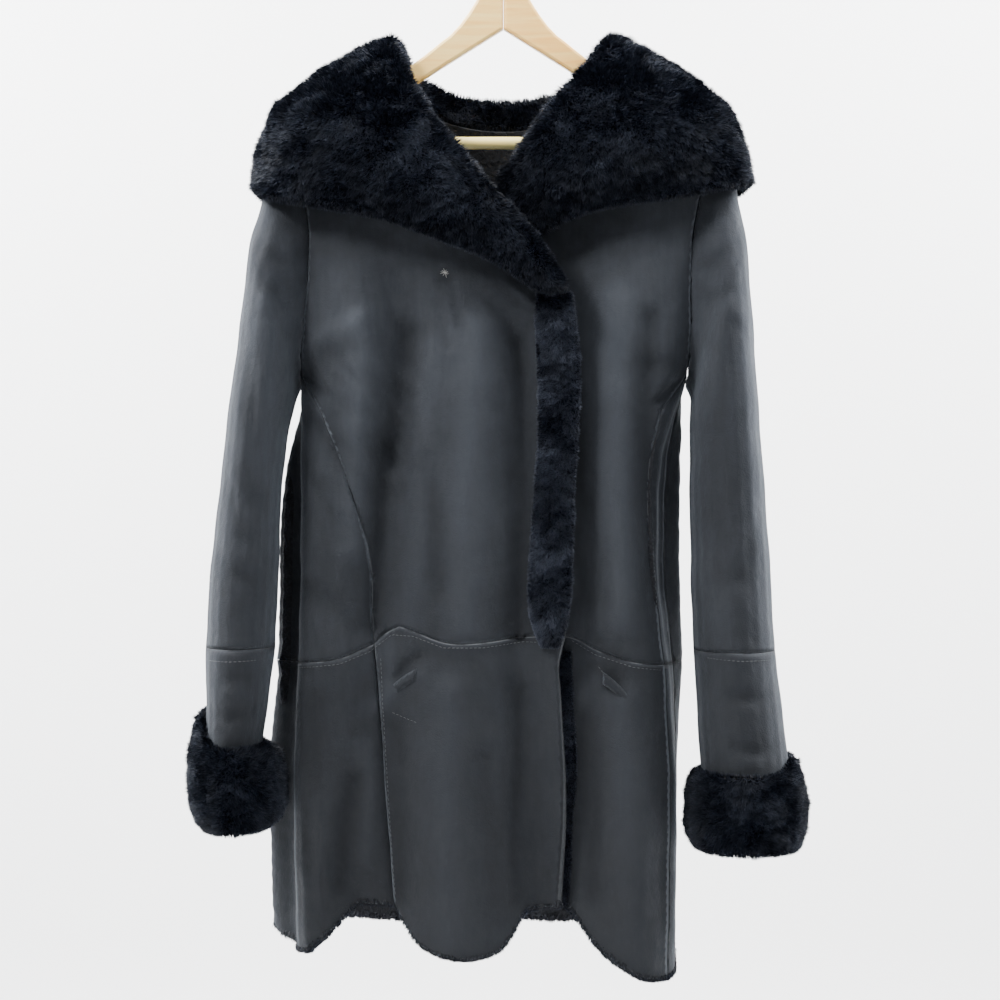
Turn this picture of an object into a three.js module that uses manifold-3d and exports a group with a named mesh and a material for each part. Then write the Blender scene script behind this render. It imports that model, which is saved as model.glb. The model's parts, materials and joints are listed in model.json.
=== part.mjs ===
// Shearling coat hanging from its wooden hanger.
// Millimetres. +X to the viewer's right, +Y to the back, +Z up.
// The origin is the point where the hook sits on the rail.
// A "drop" is a distance below that point, so z = -drop.

import * as THREE from 'three';
import { mergeVertices } from 'three/addons/utils/BufferGeometryUtils.js';
import Module from 'manifold-3d';

const wasm = await Module();
wasm.setup();

// Driving dimensions

const WALL = 7;                 // shearling: suede skin with its clipped pile
const SEAM = 0.3;               // each piece stops this far short of its seam line
const REST = 0.9;               // clearance under a piece that lies on another
const CUFF_REST = 1.2;          // and under a cuff
const ARM_REST = 1.3;           // and over the hanger's arms

const NECK_X = 107;             // half width of the neckline at the shoulder
const SHOULDER_X = 221;         // half width at the tip of the shoulder
const SHOULDER_SLOPE = 0.63;    // fall of the shoulder for each mm outwards
const NECK_DROP = 154.3;        // neck point, on the outer surface
const SHOULDER_DROP = NECK_DROP + SHOULDER_SLOPE * (SHOULDER_X - NECK_X);
const UNDERARM_DROP = 485;
const ARMHOLE_DEPTH = 41;       // half the armhole, front to back

const BAND_TOP = 394;           // where the collar ends and the band begins
const BAND_BOTTOM = 745;
const BAND_PILE = 15;
const BAND_EDGE = 4;            // pile at the band's two long edges
const UNDERLAP = 24;            // how far the right front lies behind the left one
const UNDERLAP_X = [60, 150];   // where that begins and ends across the right front
const UNDERLAP_DROP = [185, 285];
const TURN_LEFT = [0.12, 0.85]; // from front to back, where the half widths change over
const TURN_RIGHT = [-0.3, 0.6];

// Smooth steps and tables

const lerp = (a, b, t) => a + (b - a) * t;

function smooth(from, to, value) {
  const t = Math.min(1, Math.max(0, (value - from) / (to - from)));
  return t * t * (3 - 2 * t);
}

// Reads a column of a table at a value of its key, along a smooth curve through the rows.
function read(table, key, column, value) {
  const last = table.length - 1;
  if (value <= table[0][key]) return table[0][column];
  if (value >= table[last][key]) return table[last][column];
  let i = 0;
  while (value > table[i + 1][key]) i += 1;
  const slope = (j) => {
    const before = table[Math.max(0, j - 1)];
    const after = table[Math.min(last, j + 1)];
    return (after[column] - before[column]) / (after[key] - before[key]);
  };
  const here = table[i];
  const next = table[i + 1];
  const span = next[key] - here[key];
  const t = (value - here[key]) / span;
  const t2 = t * t;
  const t3 = t2 * t;
  return (2 * t3 - 3 * t2 + 1) * here[column] + (t3 - 2 * t2 + t) * span * slope(i)
    + (3 * t2 - 2 * t3) * next[column] + (t3 - t2) * span * slope(i + 1);
}

const columns = (names, rows) => rows.map((row) => Object.fromEntries(names.map((n, i) => [n, row[i]])));

// Body: a level section at each drop. Half widths are given for the front and the back,
// because the sides fall back behind the front folds. "square" is the roundness of the corners.
const BODY = columns(
  ['drop', 'leftFront', 'leftBack', 'rightFront', 'rightBack', 'front', 'back', 'square'],
  [
    [154, 107, 107, 107, 107, 27, 27, 2.8],
    [185, 156, 156, 156, 156, 36, 36, 2.9],
    [226, 221, 221, 221, 221, 47, 47, 3.1],
    [262, 216, 216, 216, 216, 51, 52, 3.5],
    [310, 213, 213, 209, 210, 54, 55, 4.0],
    [400, 208, 208, 197, 198, 58, 58, 4.4],
    [485, 206, 212, 184, 189, 61, 59, 4.4],
    [540, 206, 234, 163, 187, 62, 60, 4.3],
    [600, 206, 248, 157, 186, 63, 62, 4.3],
    [700, 207, 252, 158, 187, 67, 66, 4.2],
    [765, 209, 254, 168, 188, 70, 69, 4.2],
    [860, 213, 252, 174, 182, 76, 74, 4.1],
    [945, 213, 252, 176, 180, 82, 80, 3.9],
    [1080, 209, 249, 174, 179, 88, 86, 3.7],
  ],
);

// Folds: where the middle of each runs at the chest, hip and hem, its half width there,
// and its depth, outwards where it is positive.
const FOLDS = columns(
  ['side', 'chestX', 'hipX', 'hemX', 'chestWide', 'hemWide', 'chestDeep', 'hipDeep', 'hemDeep'],
  [
    ['front', -150, -168, -190, 26, 34, 7, 6, 14],
    ['front', -97, -127, -133, 24, 40, -15, -16, -38],
    ['front', -30, -45, -45, 34, 50, 6, 7, 14],
    ['front', 16, 20, 40, 15, 30, -9, -9, -30],
    ['front', 112, 108, 125, 32, 46, 7, 8, 14],
    ['back', -120, -140, -165, 34, 46, 6, 7, 15],
    ['back', -60, -70, -85, 26, 38, -7, -9, -22],
    ['back', 0, -5, -15, 34, 46, 5, 6, 14],
    ['back', 62, 66, 60, 26, 36, -7, -9, -20],
    ['back', 115, 122, 125, 30, 40, 5, 6, 12],
  ],
);
const CHEST = 450;
const HIP = 750;
const HEM = 1050;
const FOLDS_BEGIN = 270;

function throughThree(chest, hip, hem, drop) {
  const rows = [{ d: CHEST, v: chest }, { d: HIP, v: hip }, { d: HEM, v: hem }];
  return read(rows, 'd', 'v', drop);
}

function foldDepth(side, x, drop) {
  const grown = smooth(FOLDS_BEGIN, CHEST, drop);
  let depth = 0;
  for (const fold of FOLDS) {
    if (fold.side !== side) continue;
    const middle = throughThree(fold.chestX, fold.hipX, fold.hemX, drop);
    const wide = throughThree(fold.chestWide, (fold.chestWide + fold.hemWide) / 2, fold.hemWide, drop);
    const deep = throughThree(fold.chestDeep, fold.hipDeep, fold.hemDeep, drop);
    depth += deep * Math.exp(-(((x - middle) / wide) ** 2));
  }
  return depth * grown;
}

// The angle runs from the centre front (0) past the left side, the back and the right side,
// and on under the left front (towards 2 pi).
const LEFT = Math.PI / 2;
const RIGHT = Math.PI * 1.5;
const FULL = Math.PI * 2;

const shoulderHalf = (drop) => NECK_X + (drop - NECK_DROP) / SHOULDER_SLOPE;

function bodyPoint(angle, drop) {
  const row = (column) => read(BODY, 'drop', column, drop);
  const s = Math.sin(angle);
  const c = Math.cos(angle);
  const square = row('square');
  const reach = 1 / (Math.abs(s) ** square + Math.abs(c) ** square) ** (1 / square);
  const toBack = smooth(...(s > 0 ? TURN_LEFT : TURN_RIGHT), -c * reach);
  const half = drop < SHOULDER_DROP
    ? shoulderHalf(drop)
    : s > 0
      ? lerp(row('leftFront'), row('leftBack'), toBack)
      : lerp(row('rightFront'), row('rightBack'), toBack);
  const x = -half * s * reach;
  const facing = Math.min(1, Math.abs(c) * reach * 1.1);
  let y;
  if (c > 0) {
    y = -row('front') * c * reach - foldDepth('front', x, drop) * facing ** 2;
  } else {
    y = -row('back') * c * reach + foldDepth('back', x, drop) * facing ** 2;
  }
  if (angle > RIGHT) y += UNDERLAP * (1 - smooth(...UNDERLAP_X, x)) * smooth(...UNDERLAP_DROP, drop) * facing;
  return new THREE.Vector3(x, y, -drop);
}

function normalOf(surface, u, v, stepU, stepV, outwards) {
  const alongU = surface(u + stepU, v).sub(surface(u - stepU, v));
  const alongV = surface(u, v + stepV).sub(surface(u, v - stepV));
  const normal = alongU.cross(alongV).normalize();
  return normal.dot(outwards) < 0 ? normal.negate() : normal;
}

function bodyNormal(angle, drop) {
  const outwards = new THREE.Vector3(-0.4 * Math.sin(angle), -Math.cos(angle), 0);
  return normalOf(bodyPoint, angle, drop, 0.002, 0.5, outwards);
}

const bodyOffset = (angle, drop, out) => bodyPoint(angle, drop).addScaledVector(bodyNormal(angle, drop), out);

function solve(from, to, tooFar) {
  let low = from;
  let high = to;
  for (let i = 0; i < 40; i += 1) {
    const middle = (low + high) / 2;
    if (tooFar(middle)) high = middle;
    else low = middle;
  }
  return (low + high) / 2;
}

// The angle at which a face of the body has a given x. Faces: leftFront, rightFront, back.
function angleAtX(face, x, drop) {
  if (face === 'leftFront') return solve(-0.6, LEFT, (a) => bodyPoint(a, drop).x < x);
  if (face === 'rightFront') return solve(RIGHT, FULL + 0.3, (a) => bodyPoint(a, drop).x < x);
  return solve(LEFT, RIGHT, (a) => bodyPoint(a, drop).x > x);
}

// Closed walls from grids

function addQuads(index, rows, cols, offset, flip) {
  for (let i = 0; i < rows - 1; i += 1) {
    for (let j = 0; j < cols - 1; j += 1) {
      const a = offset + i * cols + j;
      const b = a + 1;
      const c = a + cols;
      const d = b + cols;
      if (flip) index.push(a, b, c, b, d, c);
      else index.push(a, c, b, b, c, d);
    }
  }
}

// Joins two edges. Both pieces at a seam split its squares along the same diagonals.
function stitch(index, outer, inner) {
  for (let i = 0; i < outer.length - 1; i += 1) {
    const [a, b] = [outer[i], outer[i + 1]];
    const [c, d] = [inner[i], inner[i + 1]];
    if (a < b) index.push(a, b, c, b, d, c);
    else index.push(a, b, d, a, d, c);
  }
}

function volumeOf(positions, index) {
  const p = (i) => new THREE.Vector3().fromArray(positions, i * 3);
  let sum = 0;
  for (let t = 0; t < index.length; t += 3) {
    sum += p(index[t]).dot(p(index[t + 1]).cross(p(index[t + 2])));
  }
  return sum / 6;
}

function solidFrom(points, index) {
  const positions = points.flatMap((point) => point.toArray());
  if (volumeOf(positions, index) < 0) {
    for (let t = 0; t < index.length; t += 3) [index[t + 1], index[t + 2]] = [index[t + 2], index[t + 1]];
  }
  const geometry = new THREE.BufferGeometry();
  geometry.setAttribute('position', new THREE.Float32BufferAttribute(positions, 3));
  geometry.setIndex(index);
  geometry.computeVertexNormals();
  return geometry;
}

// A sheet with four edges: two grids of the same size and the rims between them.
function sheetWall(outer, inner) {
  const rows = outer.length;
  const cols = outer[0].length;
  const count = rows * cols;
  const index = [];
  addQuads(index, rows, cols, 0, false);
  addQuads(index, rows, cols, count, true);
  const rim = [];
  for (let j = 0; j < cols; j += 1) rim.push(j);
  for (let i = 1; i < rows; i += 1) rim.push(i * cols + cols - 1);
  for (let j = cols - 2; j >= 0; j -= 1) rim.push((rows - 1) * cols + j);
  for (let i = rows - 2; i >= 0; i -= 1) rim.push(i * cols);
  stitch(index, rim, rim.map((i) => i + count));
  return solidFrom([...outer.flat(), ...inner.flat()], index);
}

// Seam lines of the body, as x or drop

const NECKLINE = columns(['drop', 'left', 'right'], [
  [154, -107, 107],
  [188, -108, 102],
  [207, -103, 83],
  [238, -83, 56],
  [270, -57, 36],
  [301, -29, 33],
  [337, 0, 34],
  [379, 33, 35],
]);

const FRONT_EDGE = columns(['drop', 'left', 'right'], [
  [379, 33, 35],
  [419, 66, 35],
  [440, 68, 35],
  [480, 70, 35],
  [600, 66, 35],
  [740, 61, 34],
  [745, 54, 34],
  [810, 57, 36],
  [900, 60, 38],
  [960, 57, 38],
  [1010, 54, 36],
]);

const PRINCESS = columns(['drop', 'left', 'right'], [
  [474, -203, 183],
  [507, -186, 160],
  [553, -167, 150],
  [600, -149, 147],
  [660, -133, 150],
  [729, -131, 157],
  [762, -128, 161],
  [839, -122, 165],
  [902, -118, 167],
  [1060, -104, 164],
]);

const HIP_SEAM = columns(['x', 'drop'], [
  [-215, 764],
  [-164, 759],
  [-132, 746],
  [-110, 727],
  [-89, 731],
  [-60, 742],
  [-20, 742],
  [20, 737],
  [66, 737],
  [92, 750],
  [130, 762],
  [168, 766],
]);
const BACK_HIP = 766;

const HEM_LINE = columns(['x', 'drop'], [
  [-235, 1060],
  [-211, 1054],
  [-192, 1049],
  [-176, 1036],
  [-164, 1014],
  [-140, 1003],
  [-112, 1003],
  [-100, 1020],
  [-84, 1041],
  [-45, 1053],
  [-14, 1050],
  [6, 1039],
  [17, 1015],
  [36, 1008],
  [66, 1009],
  [76, 1023],
  [94, 1047],
  [127, 1069],
  [160, 1079],
  [178, 1074],
]);
const BACK_HEM = 1040;

const hipAt = (point) => lerp(BACK_HIP, read(HIP_SEAM, 'x', 'drop', point.x), smooth(5, -40, point.y));
const hemAt = (point) => lerp(BACK_HEM, read(HEM_LINE, 'x', 'drop', point.x), smooth(70, 10, point.y));

// Armholes: 0 at the shoulder, a quarter turn at the front, half a turn at the underarm.

const ARMHOLE_MIDDLE = (SHOULDER_DROP + UNDERARM_DROP) / 2;
const ARMHOLE_HALF = (UNDERARM_DROP - SHOULDER_DROP) / 2;

function armholeAngle(side, turn) {
  const drop = ARMHOLE_MIDDLE - ARMHOLE_HALF * Math.cos(turn);
  const y = -ARMHOLE_DEPTH * Math.sin(turn);
  const sideAngle = side === 'left' ? LEFT : RIGHT;
  const towardsBack = side === 'left' ? 1 : -1;
  if (Math.abs(y) < 0.01) return { angle: sideAngle, drop };
  const angle = y < 0
    ? sideAngle - towardsBack * solve(0, 1.5, (t) => bodyPoint(sideAngle - towardsBack * t, drop).y < y)
    : sideAngle + towardsBack * solve(0, 1.5, (t) => bodyPoint(sideAngle + towardsBack * t, drop).y > y);
  return { angle, drop };
}

function armholePoint(side, turn) {
  const { angle, drop } = armholeAngle(side, turn);
  return bodyPoint(angle, drop);
}

// Turn around the armhole at which it has a given drop, on its front half.
const armholeTurn = (drop) => Math.acos(Math.min(1, Math.max(-1, (ARMHOLE_MIDDLE - drop) / ARMHOLE_HALF)));

// Panels. Each is filled in between four edges, given as points {u, drop}.

function fill(edges, across, down) {
  const { top, bottom, start, end } = edges;
  const mix = (key) => (1 - down) * top(across)[key] + down * bottom(across)[key]
    + (1 - across) * start(down)[key] + across * end(down)[key]
    - (1 - across) * (1 - down) * top(0)[key] - across * (1 - down) * top(1)[key]
    - (1 - across) * down * bottom(0)[key] - across * down * bottom(1)[key];
  return { u: mix('u'), drop: mix('drop') };
}

// Shrinks a panel's grid by the seam clearance at its four edges.
function inset(points) {
  const rows = points.length;
  const cols = points[0].length;
  const pull = (point, towards, by) => {
    const way = towards.clone().sub(point);
    return point.addScaledVector(way.normalize(), by);
  };
  for (let i = 0; i < rows; i += 1) {
    pull(points[i][0], points[i][1], SEAM);
    pull(points[i][cols - 1], points[i][cols - 2], SEAM);
  }
  for (let j = 0; j < cols; j += 1) {
    pull(points[0][j], points[1][j], SEAM);
    pull(points[rows - 1][j], points[rows - 2][j], SEAM);
  }
}

function panelWall(spots) {
  const outer = spots.map((row) => row.map((spot) => bodyPoint(spot.angle, spot.drop)));
  const inner = spots.map((row) => row.map((spot) => bodyOffset(spot.angle, spot.drop, -WALL)));
  inset(outer);
  inset(inner);
  return sheetWall(outer, inner);
}

// Shares of the way around a half section whose points are spaced evenly in angle.
function evenShares(count) {
  const shares = [];
  for (let i = 0; i < count; i += 1) {
    const angle = Math.PI * (i / (count - 1) - 0.5);
    const square = 4;
    const reach = 1 / (Math.abs(Math.sin(angle)) ** square + Math.abs(Math.cos(angle)) ** square) ** (1 / square);
    shares.push((1 + Math.sin(angle) * reach) / 2);
  }
  return shares;
}

// Drops down an upper panel's outer edge: the armhole first, then the seam below it.
// The sleeve's rings have their points at the same turns, so its end fits the armhole.
const SEAM_ROWS = 8;
const PRINCESS_TOP = PRINCESS[0].drop;
const FRONT_TURNS = [...[0, 9, 20, 40, 60, 80, 100, 120, 140].map(THREE.MathUtils.degToRad),
  armholeTurn(PRINCESS_TOP)];
const RING_TURNS = [...FRONT_TURNS, Math.PI, ...FRONT_TURNS.slice(1).reverse().map((turn) => FULL - turn)];

const armholeDrop = (turn) => ARMHOLE_MIDDLE - ARMHOLE_HALF * Math.cos(turn);

function outerDrops(turns, seamBottom) {
  const drops = turns.map(armholeDrop);
  const seamTop = drops[drops.length - 1];
  for (let i = 1; i <= SEAM_ROWS; i += 1) drops.push(lerp(seamTop, seamBottom, i / SEAM_ROWS));
  return drops;
}

function frontInnerX(side, drop) {
  return drop < FRONT_EDGE[0].drop ? read(NECKLINE, 'drop', side, drop) : read(FRONT_EDGE, 'drop', side, drop);
}

function frontOuterX(side, drop) {
  if (drop <= PRINCESS_TOP) return armholePoint(side, armholeTurn(drop)).x;
  return read(PRINCESS, 'drop', side, drop);
}

function hipDropAt(side, edge) {
  const xAt = edge === 'inner' ? frontInnerX : frontOuterX;
  let drop = HIP;
  for (let i = 0; i < 6; i += 1) drop = read(HIP_SEAM, 'x', 'drop', xAt(side, drop));
  return drop;
}

function upperFront(side, cols) {
  const face = side === 'left' ? 'leftFront' : 'rightFront';
  const sign = side === 'left' ? -1 : 1;
  const hipInner = hipDropAt(side, 'inner');
  const hipOuter = hipDropAt(side, 'outer');
  const drops = outerDrops(FRONT_TURNS, hipOuter);
  const downShares = drops.map((drop) => (drop - drops[0]) / (hipOuter - drops[0]));
  const edges = {
    top: (t) => {
      const x = sign * lerp(NECK_X, SHOULDER_X, t);
      return { u: x, drop: NECK_DROP + SHOULDER_SLOPE * (Math.abs(x) - NECK_X) };
    },
    bottom: (t) => {
      const x = lerp(frontInnerX(side, hipInner), frontOuterX(side, hipOuter), t);
      return { u: x, drop: read(HIP_SEAM, 'x', 'drop', x) };
    },
    start: (t) => {
      const drop = lerp(NECK_DROP, hipInner, t);
      return { u: frontInnerX(side, drop), drop };
    },
    end: (t) => {
      const drop = lerp(drops[0], hipOuter, t);
      return { u: frontOuterX(side, drop), drop };
    },
  };
  const spots = downShares.map((down, row) => {
    const line = [];
    for (let j = 0; j < cols; j += 1) {
      const spot = fill(edges, j / (cols - 1), down);
      const angle = row === 0
        ? (side === 'left' ? LEFT : RIGHT)
        : j === cols - 1 && spot.drop <= PRINCESS_TOP
          ? armholeAngle(side, armholeTurn(spot.drop)).angle
          : angleAtX(face, spot.u, spot.drop);
      line.push({ angle, drop: spot.drop });
    }
    return line;
  });
  return spots;
}

// The side front runs from the princess seam to the side seam, which is at the widest line.
function upperSideFront(side, cols) {
  const face = side === 'left' ? 'leftFront' : 'rightFront';
  const sideAngle = side === 'left' ? LEFT : RIGHT;
  const hipOuter = hipDropAt(side, 'outer');
  const hipSide = BACK_HIP;
  const spots = [];
  for (let i = 0; i <= SEAM_ROWS; i += 1) {
    const t = i / SEAM_ROWS;
    const seamDrop = lerp(PRINCESS_TOP, hipOuter, t);
    const sideDrop = lerp(UNDERARM_DROP, hipSide, t);
    const seamAngle = i === 0
      ? armholeAngle(side, armholeTurn(seamDrop)).angle
      : angleAtX(face, frontOuterX(side, seamDrop), seamDrop);
    const line = [];
    for (let j = 0; j < cols; j += 1) {
      const across = j / (cols - 1);
      const angle = lerp(seamAngle, sideAngle, across);
      let drop = lerp(seamDrop, sideDrop, across);
      if (i === SEAM_ROWS) drop = hipAt(bodyPoint(angle, drop));
      if (i === 0) drop = lerp(seamDrop, sideDrop, Math.sin(across * Math.PI / 2));
      line.push({ angle, drop });
    }
    spots.push(line);
  }
  return spots;
}

const BACK_NECK = columns(['x', 'drop'], [
  [-107, 154.3],
  [-100, 178],
  [-80, 199],
  [-40, 213],
  [0, 217],
  [40, 213],
  [80, 199],
  [100, 178],
  [107, 154.3],
]);

// The back's columns, across the top from the middle outwards: closest at the neck point.
const HALF_TOP = [0, 38, 70, 91, 102, 106, NECK_X, 124, 148, 172, 197, SHOULDER_X];
const BACK_TOP = [...HALF_TOP.slice(1).reverse().map((x) => -x), ...HALF_TOP];
const BACK_COLS = BACK_TOP.length;

function backTopDrop(x) {
  if (Math.abs(x) <= NECK_X) return read(BACK_NECK, 'x', 'drop', x);
  return NECK_DROP + SHOULDER_SLOPE * (Math.abs(x) - NECK_X);
}

function upperBack() {
  const shares = evenShares(BACK_COLS);
  const drops = outerDrops([...FRONT_TURNS, Math.PI], BACK_HIP);
  const underarmRow = FRONT_TURNS.length;
  const spots = drops.map((sideDrop, row) => {
    const line = [];
    const down = (sideDrop - SHOULDER_DROP) / (UNDERARM_DROP - SHOULDER_DROP);
    for (let j = 0; j < BACK_COLS; j += 1) {
      if (row > underarmRow) {
        const angle = lerp(LEFT, RIGHT, j / (BACK_COLS - 1));
        line.push({ angle, drop: sideDrop });
        continue;
      }
      const topDrop = backTopDrop(BACK_TOP[j]);
      const drop = lerp(topDrop, UNDERARM_DROP, Math.min(1, down));
      const left = armholeAngle('left', FULL - armholeTurn(sideDrop));
      const right = armholeAngle('right', FULL - armholeTurn(sideDrop));
      const leftX = bodyPoint(left.angle, left.drop).x;
      const rightX = bodyPoint(right.angle, right.drop).x;
      const x = lerp(BACK_TOP[j], lerp(leftX, rightX, shares[j]), smooth(0, 1, down * 1.6));
      let angle = angleAtX('back', x, drop);
      if (j === 0) angle = left.angle;
      if (j === BACK_COLS - 1) angle = right.angle;
      if (row === 0 && Math.abs(BACK_TOP[j]) >= NECK_X) angle = x < 0 ? LEFT : RIGHT;
      line.push({ angle, drop });
    }
    return line;
  });
  return spots;
}

// Lower panels hang from the hip seam to the hem between two edges given as x or as an angle.
const LOWER_ROWS = 9;

function lowerPanel(upper, startAt, endAt) {
  const hipRow = upper[upper.length - 1];
  const cols = hipRow.length;
  const first = hipRow[0].angle;
  const last = hipRow[cols - 1].angle;
  const spots = [hipRow];
  for (let i = 1; i <= LOWER_ROWS; i += 1) {
    const t = i / LOWER_ROWS;
    const line = [];
    for (let j = 0; j < cols; j += 1) {
      let drop = lerp(BACK_HIP, BACK_HEM, t);
      let angle = 0;
      for (let pass = 0; pass < 5; pass += 1) {
        angle = lerp(startAt(drop), endAt(drop), (hipRow[j].angle - first) / (last - first));
        const point = bodyPoint(angle, drop);
        drop = lerp(hipAt(point), hemAt(point), t);
      }
      line.push({ angle, drop });
    }
    spots.push(line);
  }
  return spots;
}

const leftEdge = (drop) => angleAtX('leftFront', read(FRONT_EDGE, 'drop', 'left', drop), drop);
const rightEdge = (drop) => angleAtX('rightFront', read(FRONT_EDGE, 'drop', 'right', drop), drop);
const leftPrincess = (drop) => angleAtX('leftFront', read(PRINCESS, 'drop', 'left', drop), drop);
const rightPrincess = (drop) => angleAtX('rightFront', read(PRINCESS, 'drop', 'right', drop), drop);
const leftSide = () => LEFT;
const rightSide = () => RIGHT;

// Strips that lie on the body between two lines: their points are moved out from it.
// "crown" rounds the outer face across the strip, and the pile gets lower at its two ends.
const STRIP_REST = 1.53;
const END_HEIGHT = 0.55;        // share of the pile that is left at the ends
const END_STEEPNESS = 8;

function laidStrip({ from, to, startAt, endAt, rows, cols, pile, edgePile }) {
  const outer = [];
  const inner = [];
  for (let i = 0; i < rows; i += 1) {
    const t = i / (rows - 1);
    const drop = lerp(from, to, t);
    const endRound = Math.sin(Math.PI * Math.min(1, (0.15 + END_STEEPNESS * Math.min(t, 1 - t)) / 2));
    const outLine = [];
    const inLine = [];
    for (let j = 0; j < cols; j += 1) {
      const across = j / (cols - 1);
      const angle = lerp(startAt(drop), endAt(drop), across);
      const crown = Math.sqrt(Math.max(0, 1 - (2 * across - 1) ** 2));
      const height = lerp(edgePile, pile, crown) * lerp(END_HEIGHT, 1, endRound);
      inLine.push(bodyOffset(angle, drop, STRIP_REST));
      outLine.push(bodyOffset(angle, drop, STRIP_REST + height));
    }
    outer.push(outLine);
    inner.push(inLine);
  }
  return sheetWall(outer, inner);
}

// Front band: over the edge of the left front, which ends under it.
const BAND = columns(['drop', 'left', 'right'], [
  [395, 35, 68],
  [412, 34, 70],
  [446, 35, 74],
  [520, 37, 74],
  [600, 32, 69],
  [680, 27, 67],
  [722, 29, 62],
  [745, 39, 55],
]);

function frontBand() {
  return laidStrip({
    from: BAND_TOP,
    to: BAND_BOTTOM,
    startAt: (drop) => angleAtX('leftFront', read(BAND, 'drop', 'right', drop), drop),
    endAt: (drop) => angleAtX('leftFront', read(BAND, 'drop', 'left', drop), drop),
    rows: 19,
    cols: 7,
    pile: BAND_PILE,
    edgePile: BAND_EDGE,
  });
}

// Fur edge of the right lower front, which shows between the two fronts.
const EDGE_STRIP = columns(['drop', 'left', 'right'], [
  [752, 46, 67],
  [800, 48, 69],
  [874, 50, 73],
  [911, 48, 69],
  [974, 46, 67],
  [1003, 46, 65],
]);

const EDGE_PILE = 9;
const EDGE_PILE_LOW = 3;

function edgeStrip() {
  return laidStrip({
    from: EDGE_STRIP[0].drop,
    to: EDGE_STRIP[EDGE_STRIP.length - 1].drop,
    startAt: (drop) => angleAtX('rightFront', read(EDGE_STRIP, 'drop', 'right', drop), drop),
    endAt: (drop) => angleAtX('rightFront', read(EDGE_STRIP, 'drop', 'left', drop), drop),
    rows: 13,
    cols: 5,
    pile: EDGE_PILE,
    edgePile: EDGE_PILE_LOW,
  });
}

// Pocket welts: slanted strips on the lower fronts, bowed a little and highest in the middle.
const WELT_WIDE = 12;
const WELT_BOW = 3;
const WELT_HEIGHTS = [2.2, 3.5, 2.2];
const WELT_ROWS = 7;

function pocketWelt(face, inner, outer) {
  const outerGrid = [];
  const innerGrid = [];
  for (let i = 0; i < WELT_ROWS; i += 1) {
    const t = i / (WELT_ROWS - 1);
    const outLine = [];
    const inLine = [];
    for (let j = 0; j < WELT_HEIGHTS.length; j += 1) {
      const x = lerp(inner.x, outer.x, t);
      const down = WELT_WIDE * (j / (WELT_HEIGHTS.length - 1)) - WELT_BOW * Math.sin(Math.PI * t);
      const drop = lerp(inner.drop, outer.drop, t) + down;
      const angle = angleAtX(face, x, drop);
      inLine.push(bodyOffset(angle, drop, REST));
      outLine.push(bodyOffset(angle, drop, REST + WELT_HEIGHTS[j]));
    }
    outerGrid.push(outLine);
    innerGrid.push(inLine);
  }
  return sheetWall(outerGrid, innerGrid);
}

// Sleeves: each ring leans from its outer point to its inner point.
const SLEEVES = {
  left: columns(['outerX', 'outerDrop', 'innerX', 'innerDrop', 'depth', 'middleY'], [
    [-222, 226, -204, 485, 44, 0],
    [-235, 243, -208, 489, 55, 0],
    [-240, 268, -211, 495, 62, -1],
    [-246, 296, -213, 502, 70, -2],
    [-257, 330, -215, 512, 76, -5],
    [-263, 378, -218, 525, 77, -8],
    [-269, 430, -221, 545, 76, -11],
    [-277, 492, -224, 575, 75, -14],
    [-286, 570, -227, 620, 74, -15],
    [-297, 672, -229, 690, 74, -17],
    [-301, 748, -231, 748, 71, -22],
    [-300, 800, -238, 800, 67, -28],
    [-299, 860, -246, 860, 64, -31],
    [-296, 920, -246, 920, 62, -36],
  ]),
  right: columns(['outerX', 'outerDrop', 'innerX', 'innerDrop', 'depth', 'middleY'], [
    [222, 226, 189, 485, 44, 0],
    [233, 243, 192, 489, 55, 0],
    [236, 268, 192, 495, 62, -1],
    [240, 296, 191, 502, 70, -2],
    [247, 330, 190, 512, 76, -3],
    [251, 378, 190, 525, 79, -4],
    [255, 430, 190, 545, 79, -5],
    [259, 492, 190, 575, 78, -6],
    [265, 570, 190, 620, 76, -7],
    [272, 672, 191, 690, 73, -9],
    [276, 752, 194, 752, 71, -12],
    [281, 800, 196, 800, 69, -16],
    [289, 866, 200, 866, 66, -21],
    [292, 942, 202, 942, 64, -25],
  ]),
};
const SLEEVE_SEAM = 10;         // the ring at the seam across the forearm
const SLEEVE_END = 13;
const SET_IN_RINGS = 3;         // rings over which the armhole's shape fades out
const SET_IN_GAP = 0.5;         // from the armhole to the sleeve

function sleevePoint(side, turn, ring) {
  const rows = SLEEVES[side].map((row, i) => ({ ...row, ring: i }));
  const oval = (value) => {
    const v = (column) => read(rows, 'ring', column, value);
    const share = (1 + Math.cos(turn)) / 2;
    return new THREE.Vector3(
      lerp(v('innerX'), v('outerX'), share),
      v('middleY') - v('depth') * Math.sin(turn),
      -lerp(v('innerDrop'), v('outerDrop'), share),
    );
  };
  const point = oval(ring);
  const stay = 1 - smooth(0, SET_IN_RINGS, ring);
  if (stay > 0) {
    const setIn = armholePoint(side, turn).sub(oval(0));
    setIn.x += side === 'left' ? -SET_IN_GAP : SET_IN_GAP;
    point.addScaledVector(setIn, stay);
  }
  return point;
}

function sleeveNormal(side, turn, ring) {
  const surface = (u, v) => sleevePoint(side, u, v);
  const v = Math.min(SLEEVE_END - 0.02, Math.max(0.02, ring));
  const middle = surface(turn, v).add(surface(turn + Math.PI, v)).multiplyScalar(0.5);
  const normal = normalOf(surface, turn, v, 0.02, 0.02, surface(turn, v).sub(middle));
  normal.x *= smooth(0, 1, ring);
  return normal.normalize();
}

function sleeveRing(side, ring, out) {
  return RING_TURNS.map((turn) => (
    sleevePoint(side, turn, ring).addScaledVector(sleeveNormal(side, turn, ring), out)));
}

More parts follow.
